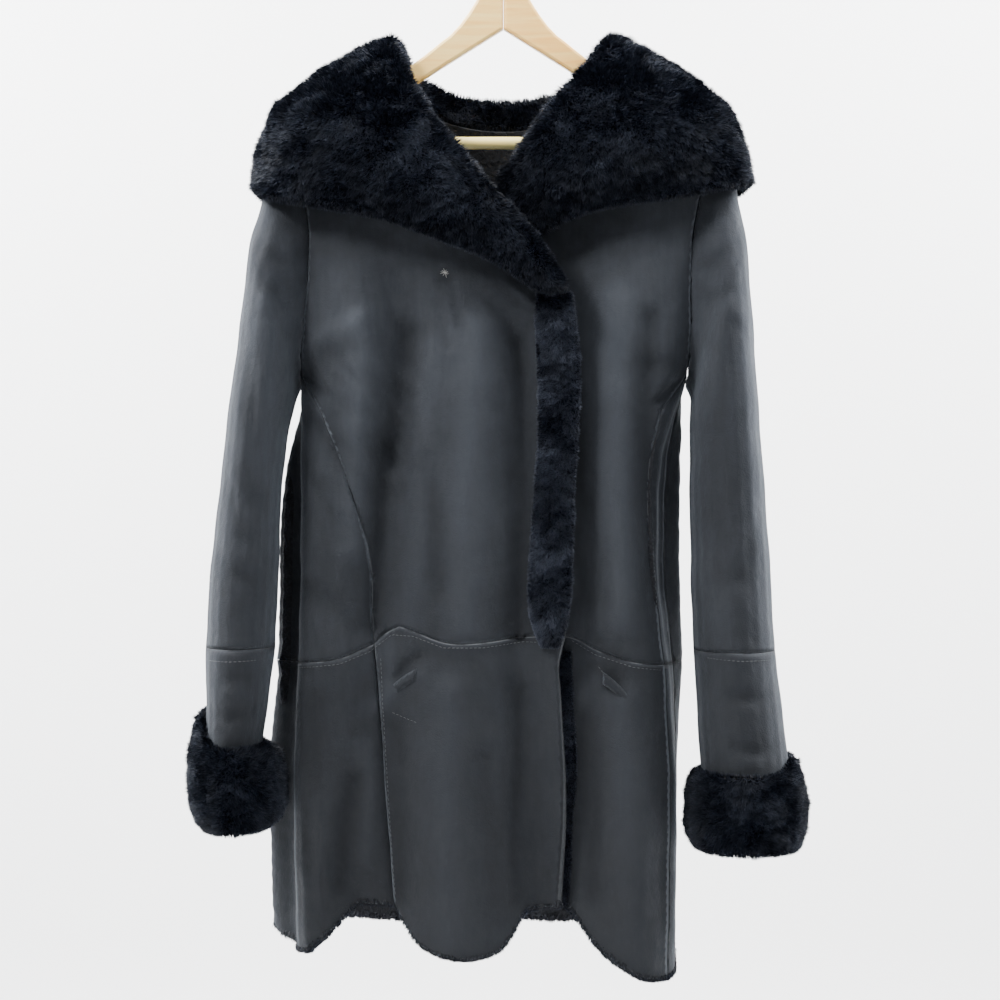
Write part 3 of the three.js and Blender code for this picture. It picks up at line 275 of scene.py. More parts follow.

# %% [markdown]
# The fur is dyed near-black navy. Each hair is painted darkest at its root, painted shade deep
# in the pile, and bluish at its clipped tip. The value along runs from root to tip, and the
# value shade differs at random from hair to hair.

# %% Fur
def fur_finish(name, dull, bright, crest_highlight, pale, root):
    """Clipped fur: roots painted dark as the shade deep in the pile, two colours of tips in patches, and
    tips painted paler on the tufts' crests as a painted highlight.
    """
    fur = Finish(
        name, Roughness=0.6, Specular_IOR_Level=0.22, Sheen_Weight=0.08, Sheen_Roughness=0.35,
        Sheen_Tint=(0.35, 0.5, 0.95, 1),
    )
    tip = fur.spread(fur.attribute("along"), 0.1, 1.0)
    patch = fur.spread(fur.noise(24, 3, distortion=0.8), 0.38, 0.66)
    tip_color = fur.mix(patch, dull, bright)
    # Painted highlight: the tips on the tufts' crests are painted paler.
    tip_color = fur.mix(fur.math("MULTIPLY", fur.attribute("crest"), 0.3), tip_color, crest_highlight)
    tip_color = fur.mix(fur.math("MULTIPLY", fur.attribute("shade"), 0.22), tip_color, pale)
    # Painted shade: each lock is painted darker towards its root, as the shade deep in the pile.
    return fur.wear(fur.mix(tip, root, tip_color))


FUR = fur_finish(
    "fur", (0.0060, 0.0077, 0.0120, 1), (0.0158, 0.0198, 0.0300, 1), (0.0230, 0.0285, 0.0430, 1),
    (0.0270, 0.0340, 0.0540, 1), (0.0012, 0.0015, 0.0028, 1),
)
BAND_FUR = fur_finish(
    "fur_band", (0.0170, 0.0205, 0.0300, 1), (0.0420, 0.0490, 0.0690, 1), (0.0640, 0.0740, 0.1000, 1),
    (0.0680, 0.0780, 0.1040, 1), (0.0024, 0.0029, 0.0045, 1),
)

under = Finish("fur_root", Roughness=0.95)
UNDER = under.wear(
    under.mix(under.noise(120, 4), (0.0015, 0.0018, 0.003, 1), (0.004, 0.005, 0.008, 1)),
    under.bump(under.noise(220, 4), 0.004, 0.8),
)

# %% [markdown]
# The hanger is clear-lacquered wood. Grain is noise stretched ten times along the wood, so each
# arm turns its pattern to its own slope. The right arm's wood is painted a little darker and warmer than
# the left's.


# %% Wood, metal and thread
def wood(name, pale, dark, turn):
    """Lacquered wood whose grain runs along X after the turn about Y."""
    board = Finish(name, Roughness=0.38, Coat_Weight=0.2, Coat_Roughness=0.25)
    along = board.stretched((1.2, 14, 14), (0, turn, 0))
    rings = board.spread(board.noise(9, 5, along, 0.6), 0.3, 0.72)
    tone = board.mix(rings, pale, dark)
    pores = board.spread(board.noise(60, 2, along), 0.55, 0.75)
    tone = board.mix(board.math("MULTIPLY", pores, 0.35), tone, dark)
    return board.wear(tone, board.bump(rings, 0.0004, 0.25))


ARM_TURN = math.atan(0.63)
WOOD_LEFT = wood("wood_left", (1.0, 0.70, 0.25, 1), (0.95, 0.55, 0.15, 1), -ARM_TURN)
WOOD_RIGHT = wood("wood_right", (1.0, 0.66, 0.22, 1), (0.93, 0.49, 0.12, 1), ARM_TURN)
WOOD_BAR = wood("wood_bar", (1.0, 0.88, 0.36, 1), (0.97, 0.74, 0.24, 1), 0.0)

plated = Finish("plated_wire", Metallic=1.0, Roughness=0.22)
METAL = plated.wear(plated.mix(plated.noise(400, 2), (0.62, 0.63, 0.64, 1), (0.5, 0.51, 0.53, 1)))

seam_thread = Finish("seam_thread", Roughness=0.7)
seam_tone = seam_thread.mix(seam_thread.noise(800), (0.03, 0.033, 0.037, 1), (0.07, 0.074, 0.08, 1))
THREAD = seam_thread.wear(seam_tone)
tack_thread = Finish("tack_thread", Roughness=0.6)
tack_tone = tack_thread.mix(tack_thread.noise(900), (0.22, 0.22, 0.21, 1), (0.42, 0.42, 0.4, 1))
TACK = tack_thread.wear(tack_tone)

# %% [markdown]
# ## From a CAD wall to a cloth wall
# A CAD wall is a few large flat facets, and real hide bends smoothly. So each copy is welded,
# its outer, inner and cut faces are told apart, its long edges are split, and the facets are
# relaxed away. Points on a cut edge slide only along it, so pieces still meet at their seams.

# %% Weld a copy and tell its faces apart
OUTSIDE, INSIDE, CUT = 0, 1, 2
SHARP = math.radians(58)
WELD = 0.00002


def welded(node):
    bm = bmesh.new()
    bm.from_mesh(frame["nodes"][node].data)
    bmesh.ops.remove_doubles(bm, verts=bm.verts, dist=WELD)
    return bm


def regions_of(bm):
    """Groups of faces that meet without a sharp edge between them, largest first."""
    waiting = set(bm.faces)
    groups = []
    while waiting:
        start = waiting.pop()
        group, front = [start], [start]
        while front:
            face = front.pop()
            for line in face.edges:
                if len(line.link_faces) != 2 or line.calc_face_angle(0) > SHARP:
                    continue
                for other in line.link_faces:
                    if other in waiting:
                        waiting.remove(other)
                        group.append(other)
                        front.append(other)
        groups.append(group)
    return sorted(groups, key=lambda group: -sum(face.calc_area() for face in group))


def mark_faces(bm, node):
    """Sets each face's material number to OUTSIDE, INSIDE or CUT. The outside looks away from an axis."""
    for face in bm.faces:
        face.material_index = CUT
    low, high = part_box(node)
    axis = Vector((0, 0, 0))
    if node.startswith(("sleeve", "cuff")):
        axis = Vector(((low.x + high.x) / 2, high.y if node.endswith("front") else low.y, 0))
    walls = regions_of(bm)[:2]
    scores = []
    for wall in walls:
        score = 0.0
        for face in wall:
            away = face.calc_center_median() - axis
            away.z = 0
            score += face.normal.dot(away) * face.calc_area()
        scores.append(score)
    order = [OUTSIDE, INSIDE] if scores[0] >= scores[1] else [INSIDE, OUTSIDE]
    for wall, number in zip(walls, order):
        for face in wall:
            face.material_index = number


# %% Split long edges
HALVINGS = 7


def refine(bm, longest):
    for _ in range(HALVINGS):
        long_edges = [line for line in bm.edges if line.calc_length() > longest]
        if not long_edges:
            break
        bmesh.ops.subdivide_edges(bm, edges=long_edges, cuts=1, use_grid_fill=True)
    crowded = [face for face in bm.faces if len(face.verts) > 4]
    bmesh.ops.triangulate(bm, faces=crowded)


# %% Read a mesh as arrays and relax it
STRAIGHT_ON = -0.8      # the cosine between the two ways along a cut edge, where it bends little
PULLS = (0.5, -0.52)    # inwards, then outwards


def arrays(mesh):
    co = np.empty(len(mesh.vertices) * 3)
    mesh.vertices.foreach_get("co", co)
    lines = np.empty(len(mesh.edges) * 2, int)
    mesh.edges.foreach_get("vertices", lines)
    return co.reshape(-1, 3), lines.reshape(-1, 2)


def edge_classes(mesh):
    """For each edge, whether the faces on its two sides have different material numbers."""
    numbers = np.empty(len(mesh.polygons), int)
    mesh.polygons.foreach_get("material_index", numbers)
    counts = np.empty(len(mesh.polygons), int)
    mesh.polygons.foreach_get("loop_total", counts)
    loop_edges = np.empty(len(mesh.loops), int)
    mesh.loops.foreach_get("edge_index", loop_edges)
    per_loop = np.repeat(numbers, counts)
    low = np.full(len(mesh.edges), 9)
    high = np.full(len(mesh.edges), -9)
    np.minimum.at(low, loop_edges, per_loop)
    np.maximum.at(high, loop_edges, per_loop)
    return low != high


def fixed_corners(co, lines, cut):
    """Points where a cut edge turns sharply or branches."""
    ends = [[] for _ in range(len(co))]
    for a, b in lines[cut]:
        ends[a].append(b)
        ends[b].append(a)
    fixed = np.zeros(len(co), bool)
    for i, near in enumerate(ends):
        if not near:
            continue
        if len(near) != 2:
            fixed[i] = True
            continue
        one = co[near[0]] - co[i]
        two = co[near[1]] - co[i]
        turn = one @ two / (np.linalg.norm(one) * np.linalg.norm(two) + 1e-12)
        fixed[i] = turn > STRAIGHT_ON
    return fixed


def relax(mesh, passes):
    """Smooths facets away without shrinking: each pull inwards is followed by a push outwards."""
    co, lines = arrays(mesh)
    cut = edge_classes(mesh)
    on_cut = np.zeros(len(co), bool)
    on_cut[lines[cut].ravel()] = True
    free = ~fixed_corners(co, lines, cut)
    a, b = lines.T
    weight_a = np.where(on_cut[a], cut, True).astype(float)
    weight_b = np.where(on_cut[b], cut, True).astype(float)
    count = np.bincount(a, weight_a, len(co)) + np.bincount(b, weight_b, len(co))
    for _ in range(passes):
        for pull in PULLS:
            total = np.empty_like(co)
            for k in range(3):
                around_a = np.bincount(a, weight_a * co[b, k], len(co))
                around_b = np.bincount(b, weight_b * co[a, k], len(co))
                total[:, k] = around_a + around_b
            step = total / np.maximum(count, 1)[:, None] - co
            co = co + pull * step * (free & (count > 0))[:, None]
    mesh.vertices.foreach_set("co", co.ravel())
    return co, on_cut


# %% Outward directions and the distance from the cut edge
BLOCK = 2000


def outward(mesh):
    """The way out of the coat at each point: the suede's normal, and the lining's turned round."""
    co, _ = arrays(mesh)
    out = np.zeros_like(co)
    for face in mesh.polygons:
        if face.material_index == CUT:
            continue
        normal = np.array(face.normal) * face.area
        if face.material_index == INSIDE:
            normal = -normal
        for index in face.vertices:
            out[index] += normal
    return out / (np.linalg.norm(out, axis=1, keepdims=True) + 1e-12)


def distance_to(points, targets):
    """The distance from each point to the nearest target, a few thousand at a time."""
    nearest = np.empty(len(points))
    for start in range(0, len(points), BLOCK):
        block = points[start:start + BLOCK]
        gaps = ((block[:, None, :] - targets[None, :, :]) ** 2).sum(2)
        nearest[start:start + BLOCK] = np.sqrt(gaps.min(1))
    return nearest


def store(mesh, name, values):
    layer = mesh.attributes.get(name) or mesh.attributes.new(name, "FLOAT", "POINT")
    layer.data.foreach_set("value", np.asarray(values, np.float32))


# %% [markdown]
# ## Creases
# The big folds are in the solids. What is left is what a hand would feel: soft troughs and
# ridges where the hide was folded or pulled by a seam. Each stroke is a line on the front or
# back of the coat, in mm to the right of the hook and below it. They are listed one by one,
# uneven as on the coat, and a depth below zero is a ridge.

# %% Crease strokes
FRONT, BACK = -1, 1
# Each stroke gives its half width, its depth and its points (right, down).
FRONT_STROKES = [
    (5, 2.8, [(-63.5, 380), (-63, 400), (-60, 424), (-56, 446)]),
    (5, 2.6, [(-52.5, 380), (-50, 402), (-45, 425)]),
    (6, 3.6, [(-58, 372), (-58, 377)]),
    (8, -2.0, [(-57.5, 390), (-55, 420), (-50, 450)]),
    (13, 6.5, [(-95, 432), (-101, 480), (-107, 520), (-117, 556)]),
    (11, 8.0, [(-117, 545), (-123, 590), (-126, 640), (-128, 725)]),
    (15, -6.0, [(-142, 420), (-140, 480), (-148, 560), (-154, 650)]),
    (19, -6.5, [(-24, 430), (-30, 520), (-36, 620), (-38, 728)]),
    (13, -3.0, [(-74, 450), (-78, 540), (-84, 640), (-92, 720)]),
    (12, 6.5, [(18, 440), (22, 520), (23, 600), (18, 690), (15, 735)]),
    (13, 3.6, [(-200, 474), (-178, 456), (-150, 452)]),
    (10, -2.8, [(-200, 448), (-176, 432), (-150, 424)]),
    (11, 3.0, [(-194, 520), (-172, 542), (-152, 572)]),
    (9, 2.4, [(-200, 566), (-178, 596), (-162, 640)]),
    (12, 3.2, [(-200, 690), (-172, 702), (-146, 728)]),
    (10, 2.6, [(-78, 560), (-66, 620), (-62, 690)]),
    (8, -3.4, [(-114, 748), (-112, 772), (-118, 806)]),
    (6, 4.2, [(-107, 778), (-96, 765), (-83, 756)]),
    (9, -3.6, [(-126, 808), (-108, 790), (-86, 775)]),
    (12, 6.0, [(-148, 880), (-155, 920), (-165, 985)]),
    (10, -3.2, [(-134, 850), (-132, 900), (-136, 960)]),
    (14, 6.0, [(-104, 830), (-102, 900), (-98, 990)]),
    (17, -5.5, [(-54, 790), (-52, 880), (-50, 960), (-46, 1035)]),
    (10, 3.2, [(-20, 860), (-14, 930), (-10, 1015)]),
    (11, 6.0, [(16, 790), (14, 860), (8, 935), (8, 1000)]),
    (12, 4.6, [(60, 420), (68, 500), (74, 600), (78, 700)]),
    (18, -6.5, [(112, 400), (112, 500), (110, 600), (118, 720)]),
    (11, 5.5, [(146, 420), (143, 500), (144, 590), (150, 700)]),
    (10, 2.6, [(184, 470), (166, 462), (146, 466)]),
    (9, 2.4, [(84, 600), (96, 650), (100, 700)]),
    (7, 2.4, [(92, 768), (104, 776), (116, 790)]),
    (8, 2.4, [(98, 746), (108, 762), (112, 782)]),
    (18, -5.0, [(118, 800), (126, 900), (132, 980), (136, 1056)]),
    (12, 5.0, [(82, 820), (88, 900), (94, 990)]),
    (10, 3.8, [(156, 840), (157, 930), (156, 1010)]),
    (13, 4.0, [(-188, 800), (-190, 880), (-196, 960)]),
    (8, 3.4, [(-248, 330), (-238, 350), (-224, 362)]),
    (8, 2.6, [(-250, 372), (-240, 388), (-226, 396)]),
    (12, 4.2, [(-262, 430), (-252, 480), (-246, 540), (-250, 600)]),
    (9, -3.2, [(-236, 400), (-236, 480), (-240, 580)]),
    (9, 3.4, [(-290, 560), (-272, 590), (-256, 640)]),
    (7, 2.6, [(-292, 640), (-276, 664), (-254, 680)]),
    (7, 3.2, [(-294, 770), (-276, 780), (-254, 776)]),
    (7, 2.8, [(-294, 804), (-272, 818), (-252, 812)]),
    (9, 3.4, [(240, 330), (226, 352), (206, 366)]),
    (8, 2.6, [(244, 372), (228, 392), (208, 400)]),
    (12, 4.0, [(226, 430), (216, 500), (212, 590), (218, 680)]),
    (11, -3.4, [(246, 420), (248, 520), (254, 640)]),
    (9, 3.0, [(266, 600), (250, 632), (236, 680)]),
    (7, 3.2, [(274, 782), (254, 798), (226, 796)]),
    (7, 2.8, [(278, 836), (256, 852), (230, 846)]),
]
BACK_STROKES = [
    (16, 5.0, [(-90, 400), (-94, 500), (-98, 620), (-102, 740)]),
    (15, -4.5, [(-40, 380), (-38, 480), (-36, 600)]),
    (15, 4.6, [(20, 430), (24, 540), (22, 660), (20, 750)]),
    (13, -3.6, [(84, 400), (88, 500), (94, 620)]),
    (11, 3.4, [(150, 480), (134, 500), (120, 540)]),
    (11, 3.2, [(-164, 474), (-146, 500), (-134, 548)]),
    (10, 2.6, [(-182, 560), (-160, 590), (-148, 640)]),
    (10, 2.8, [(172, 600), (152, 630), (142, 690)]),
    (13, 4.6, [(-120, 800), (-128, 880), (-140, 990)]),
    (15, -4.4, [(-50, 800), (-54, 900), (-60, 1010)]),
    (13, 4.8, [(10, 790), (4, 890), (-2, 1000)]),
    (13, -3.6, [(90, 800), (92, 900), (90, 1000)]),
    (11, 4.0, [(146, 820), (150, 900), (154, 1000)]),
    (11, 3.4, [(-250, 400), (-256, 500), (-266, 620)]),
    (9, 3.0, [(-262, 700), (-270, 760), (-274, 830)]),
    (11, 3.4, [(226, 400), (232, 520), (240, 640)]),
    (9, 3.0, [(240, 720), (246, 790), (252, 850)]),
]
STROKES = [(FRONT, *stroke) for stroke in FRONT_STROKES] + [(BACK, *stroke) for stroke in BACK_STROKES]

# %% Press the creases in
RIPPLE = 0.7
HOLLOW_FULL = 7.0
RIDGE_FULL = 6.0
# The left side swings out below the hip: drops, how far out, and where it begins, all in mm.
FLARE_DROPS = [780, 850, 930, 1080]
FLARE_OUT = [0, 8, 11, 11]
FLARE_FROM = -190
FLARE_REACH = 40
FLARE_BEHIND = 5
FLARE_BEHIND_REACH = 25


def stroke_distance(flat, path):
    """How far each flat point is from a line of straight stretches."""
    nearest = np.full(len(flat), 1e9)
    for start, end in zip(path[:-1], path[1:]):
        start, end = np.array(start, float), np.array(end, float)
        way = end - start
        share = np.clip((flat - start) @ way / (way @ way), 0, 1)
        nearest = np.minimum(nearest, np.linalg.norm(flat - start - share[:, None] * way, axis=1))
    return nearest


def press_creases(mesh):
    """Moves the points in for troughs and out for ridges, and stores how deep each lies."""
    co, _ = arrays(mesh)
    out = outward(mesh)
    flat = co[:, [0, 2]] / MM * (1, -1)
    depth = np.zeros(len(co))
    for face, half_width, deep, path in STROKES:
        facing = np.clip(out[:, 1] * face * 2.0, 0, 1)
        here = deep * facing * np.exp(-((stroke_distance(flat, path) / half_width) ** 2))
        depth += here
        co[:, 1] -= face * here * MM
    low = np.interp(-co[:, 2] / MM, FLARE_DROPS, FLARE_OUT)
    aside = np.clip((FLARE_FROM - co[:, 0] / MM) / FLARE_REACH, 0, 1)
    aside *= np.clip((co[:, 1] / MM - FLARE_BEHIND) / FLARE_BEHIND_REACH, 0, 1)
    if not mesh.name.startswith("sleeve"):
        co[:, 0] -= low * aside * MM
    x, y, z = co.T
    ripple = np.sin(x * 61 + np.sin(z * 43) * 1.7) * np.sin(z * 37 + x * 23 + y * 19)
    co = co - out * (RIPPLE * ripple * MM)[:, None]
    mesh.vertices.foreach_set("co", co.ravel())
    store(mesh, "hollow", np.clip(depth / HOLLOW_FULL, 0, 1))
    store(mesh, "ridge", np.clip(-depth / RIDGE_FULL, 0, 1))


# %% The maker of every cloth wall
FACET = 7.5 * MM
BROAD_FACET = 11 * MM
BROAD = ["back_upper", "back_lower"]
PASSES = 26
FUR_PASSES = 20
made = {}


def cloth_wall(node, finishes, passes=PASSES, facet=FACET):
    bm = welded(node)
    mark_faces(bm, node)
    refine(bm, facet)
    mesh = bpy.data.meshes.new(node + "_cloth")
    bm.to_mesh(mesh)
    bm.free()
    co, on_cut = relax(mesh, passes)
    store(mesh, "from_edge", distance_to(co, co[on_cut]))
    for finish in finishes:
        mesh.materials.append(finish)
    for face in mesh.polygons:
        face.use_smooth = True
    made[node] = add_object(node + "_cloth", mesh)
    return made[node]


# %% [markdown]
# ## The suede pieces
# Fronts, side fronts, back, sleeves and pocket welts are all suede outside and fur inside.
# The cut edge of a lower piece lies on top of the piece above it and is rubbed pale, a thin
# light line across the hip. The seams that run down are hardly paler.

# %% Which cut edges are rubbed pale
HEM_BAND = 34 * MM
COLUMN = 0.03
WELT_PALE = 0.12
UPPER_PALE = 0.08
SIDE_PALE = 0.15
HIP_PALE = 1.0
HEM_PALE = 0.8
SLEEVE_PALE = 0.45


def pale_share(node, co):
    """How pale the cut edge nearest to each point is, from 0 to 1."""
    if "welt" in node:
        return np.full(len(co), WELT_PALE)
    if "upper" in node:
        return np.full(len(co), UPPER_PALE)
    share = np.full(len(co), SIDE_PALE)
    middle = (co[:, 2].max() + co[:, 2].min()) / 2
    top = co[:, 2] > middle
    columns = np.round(co[:, 0] / COLUMN)
    for column in np.unique(columns):
        here = columns == column
        top_edge = co[here & top, 2].max(initial=-9)
        low_edge = co[here & ~top, 2].min(initial=9)
        share[here & (co[:, 2] > top_edge - HEM_BAND)] = SLEEVE_PALE if "sleeve" in node else HIP_PALE
        share[here & (co[:, 2] < low_edge + HEM_BAND)] = 0.0 if "sleeve" in node else HEM_PALE
    return share


# %% Panels, sleeves and welts
PANELS = [
    f"{panel}_{level}"
    for panel in ("front_left", "side_front_left", "front_right", "side_front_right", "back")
    for level in ("upper", "lower")
]
SLEEVES = [
    f"sleeve_{side}_{level}_{half}"
    for side in ("left", "right") for level in ("upper", "lower") for half in ("front", "back")
]
WELTS = ["pocket_welt_left", "pocket_welt_right"]

for node in PANELS + SLEEVES + WELTS:
    finishes = [SUEDE, LINING, SUEDE if node in WELTS else EDGE]
    panel = cloth_wall(node, finishes, facet=BROAD_FACET if node in BROAD else FACET)
    points, _ = arrays(panel.data)
    store(panel.data, "pale_edge", pale_share(node, points))
    if node in WELTS:
        store(panel.data, "hollow", np.zeros(len(points)))
    else:
        press_creases(panel.data)

# %% [markdown]
# ## The fur
# Fur is thousands of hairs, the kind of repeat that Geometry Nodes are for. A lock of hair is
# one narrow triangle, flat side out, like a shingle. The tree scatters points over the fur
# side and leans each lock towards the lie of the coat. A cell pattern draws the tips together
# into tufts a fingernail wide, and slow noise turns whole patches, which looks brushed.

# %% One lock
bench = bpy.data.collections.new("bench")
bpy.context.scene.collection.children.link(bench)


def bench_object(name, points, faces, lines=()):
    mesh = bpy.data.meshes.new(name)
    mesh.from_pydata(points, lines, faces)
    tool = bpy.data.objects.new(name, mesh)
    bench.objects.link(tool)
    return tool


LOCK_WIDTH = 1.5 * MM
lock = bench_object(
    "lock", [(LOCK_WIDTH / 2, 0, 0), (-LOCK_WIDTH / 2, 0, 0), (0, 0, 1)], [(0, 1, 2)],
)
store(lock.data, "along", [0, 0, 1])


# %% The tree that grows fur
def new_tree(name, sockets):
    tree = bpy.data.node_groups.new(name, "GeometryNodeTree")
    tree.is_modifier = True
    tree.interface.new_socket("Geometry", in_out="OUTPUT", socket_type="NodeSocketGeometry")
    for label, kind in sockets:
        tree.interface.new_socket(label, in_out="INPUT", socket_type="NodeSocket" + kind)
    source = add_node(tree, "NodeGroupInput")
    return tree, source.outputs


def end_tree(tree, instances, material):
    real = output_of(tree, "GeometryNodeRealizeInstances", {0: instances})
    painted = output_of(tree, "GeometryNodeSetMaterial", {0: real, "Material": material})
    add_node(tree, "NodeGroupOutput", {0: painted})


def vector_math(tree, operation, a, b=None, scale=None):
    inputs = {0: a}
    if b is not None:
        inputs[1] = b
    if scale is not None:
        inputs["Scale"] = scale
    return output_of(tree, "ShaderNodeVectorMath", inputs, operation=operation)


def number_math(tree, operation, a, b):
    return output_of(tree, "ShaderNodeMath", {0: a, 1: b}, operation=operation)


def map_range(tree, value, low, high, out_low, out_high):
    inputs = {0: value, 1: low, 2: high, 3: out_low, 4: out_high}
    return output_of(tree, "ShaderNodeMapRange", inputs)


def random_value(tree, low, high, seed, kind="FLOAT"):
    first = 0 if kind == "FLOAT_VECTOR" else 2
    inputs = {first: low, first + 1: high, 8: seed}
    node = add_node(tree, "FunctionNodeRandomValue", inputs, data_type=kind)
    return node.outputs[0 if kind == "FLOAT_VECTOR" else 1]


def named(tree, name, kind="FLOAT"):
    return output_of(tree, "GeometryNodeInputNamedAttribute", {"Name": name}, data_type=kind)


def keep(tree, points, name, value):
    return output_of(
        tree, "GeometryNodeStoreNamedAttribute", {"Geometry": points, "Name": name, "Value": value},
        data_type="FLOAT", domain="POINT",
    )


FUR_SOCKETS = [
    ("Geometry", "Geometry"), ("Lock", "Object"), ("Density", "Float"),
    ("Length", "Float"), ("Lie", "Vector"), ("Patch size", "Float"),
    ("Patch lean", "Float"), ("Tuft size", "Float"), ("Tuft pull", "Float"),
    ("Stray", "Float"), ("Seed", "Int"), ("Material", "Material"),
]
fur_tree, given = new_tree("grow_fur", FUR_SOCKETS)

density = number_math(fur_tree, "MULTIPLY", given["Density"], named(fur_tree, "growth"))
scatter = add_node(
    fur_tree, "GeometryNodeDistributePointsOnFaces",
    {"Mesh": given["Geometry"], "Density": density, "Seed": given["Seed"]},
)
where = output_of(fur_tree, "GeometryNodeInputPosition")
swirl = add_node(
    fur_tree, "ShaderNodeTexNoise",
    {"Vector": where, "Scale": given["Patch size"], "Detail": 2.0, "Distortion": 0.6},
)
patch_lean = vector_math(fur_tree, "SUBTRACT", swirl.outputs["Color"], (0.5, 0.5, 0.5))
patch_lean = vector_math(fur_tree, "SCALE", patch_lean, scale=given["Patch lean"])
tufts = add_node(fur_tree, "ShaderNodeTexVoronoi", {"Vector": where, "Scale": given["Tuft size"]})
to_tuft = vector_math(fur_tree, "SUBTRACT", tufts.outputs["Position"], where)
to_tuft = vector_math(fur_tree, "SCALE", to_tuft, scale=given["Tuft pull"])
stray = random_value(fur_tree, (-1, -1, -1), (1, 1, 1), 3, "FLOAT_VECTOR")
stray = vector_math(fur_tree, "SCALE", stray, scale=given["Stray"])
lean = scatter.outputs["Normal"]
for push in (given["Lie"], patch_lean, to_tuft, stray):
    lean = vector_math(fur_tree, "ADD", lean, push)
standing_up = output_of(fur_tree, "FunctionNodeAlignRotationToVector", {"Vector": lean}, axis="Z")
flat_out = output_of(
    fur_tree, "FunctionNodeAlignRotationToVector",
    {"Rotation": standing_up, "Vector": scatter.outputs["Normal"]}, axis="Y", pivot_axis="Z",
)
spin = output_of(fur_tree, "ShaderNodeCombineXYZ", {2: random_value(fur_tree, -0.8, 0.8, 5)})
spin = output_of(fur_tree, "FunctionNodeEulerToRotation", {0: spin})
turned = output_of(
    fur_tree, "FunctionNodeRotateRotation", {"Rotation": flat_out, "Rotate By": spin},
    rotation_space="LOCAL",
)

# crest is 1 in the middle of a tuft: those locks grow a little longer, and the fur finish paints their
# tips paler as a painted highlight.
crest = map_range(fur_tree, tufts.outputs["Distance"], 0.1, 0.65, 1.0, 0.0)
long = map_range(fur_tree, swirl.outputs["Fac"], 0.3, 0.7, 0.82, 1.06)
uneven = random_value(fur_tree, 0.72, 1.05, 7)
crest_gain = number_math(fur_tree, "MULTIPLY", crest, 0.25)
crest_gain = number_math(fur_tree, "ADD", 0.8, crest_gain)
for factor in (uneven, crest_gain, named(fur_tree, "pile"), given["Length"]):
    long = number_math(fur_tree, "MULTIPLY", long, factor)
size = output_of(fur_tree, "ShaderNodeCombineXYZ", {0: 1.0, 1: 1.0, 2: long})
marked = keep(fur_tree, scatter.outputs["Points"], "shade", random_value(fur_tree, 0.0, 1.0, 11))
marked = keep(fur_tree, marked, "crest", crest)
lock_shape = add_node(fur_tree, "GeometryNodeObjectInfo", {"Object": given["Lock"]}).outputs["Geometry"]
growing = output_of(
    fur_tree, "GeometryNodeInstanceOnPoints",
    {"Points": marked, "Instance": lock_shape, "Rotation": turned, "Scale": size},
)
end_tree(fur_tree, growing, given["Material"])


# %% Run a tree and keep its result as a plain mesh
def run_tree(source, tree, settings, name):
    modifier = source.modifiers.new(name, "NODES")
    modifier.node_group = tree
    for item in tree.interface.items_tree:
        if item.in_out == "INPUT" and item.name in settings:
            modifier[item.identifier] = settings[item.name]
    evaluated = source.evaluated_get(bpy.context.evaluated_depsgraph_get())
    mesh = bpy.data.meshes.new_from_object(evaluated)
    source.modifiers.remove(modifier)
    mesh.name = name
    return add_object(name, mesh)


def area_where(mesh, values):
    """The area of the faces, each counted by the mean of its points' values."""
    total = 0.0
    for face in mesh.polygons:
        total += face.area * sum(values[i] for i in face.vertices) / len(face.vertices)
    return total


def grow(skin, name, grows, locks, settings):
    """Grows about this many locks where the values of grows say that fur stands."""
    area = area_where(skin.data, grows)
    everything = {"Lock": lock, "Density": locks / area, **settings}
    fur = run_tree(skin, fur_tree, everything, name)
    print(name, "area", round(area, 5), "locks", len(fur.data.polygons))
    return fur


# %% [markdown]
# The solids reach as far as the fur tips do. So the skin is the solid with its fur side drawn
# in, less near a thin edge, and the locks stand up again to where the solid was.

# %% Furred pieces
FURRED = [
    # node, how far the skin lies below the fur tips in mm, locks, their length in mm, lie, seed
    ("collar_left", 8.0, 172000, 11.5, (0, 0, -0.5), 1),
    ("collar_right", 8.0, 166000, 11.5, (0, 0, -0.5), 2),
    ("cuff_left_front", 7.0, 46000, 10.5, (0, 0, -0.2), 3),
    ("cuff_left_back", 7.0, 40000, 10.5, (0, 0, -0.2), 4),
    ("cuff_right_front", 7.0, 48000, 10.5, (0, 0, -0.2), 5),
    ("cuff_right_back", 7.0, 42000, 10.5, (0, 0, -0.2), 6),
    ("front_band", 6.0, 60000, 10.0, (0, 0, -0.4), 7),
    ("edge_strip_right", 4.0, 24000, 7.5, (0, 0, -0.4), 8),
]
BANDS = ["front_band", "edge_strip_right"]
EDGE_PILE = 0.55
SEAM_SIDE = 1.5 * MM
ROOM_SHARE = 0.6
LUMP = 0.16
LEATHER_GROWTH = 0.35
furs = {}


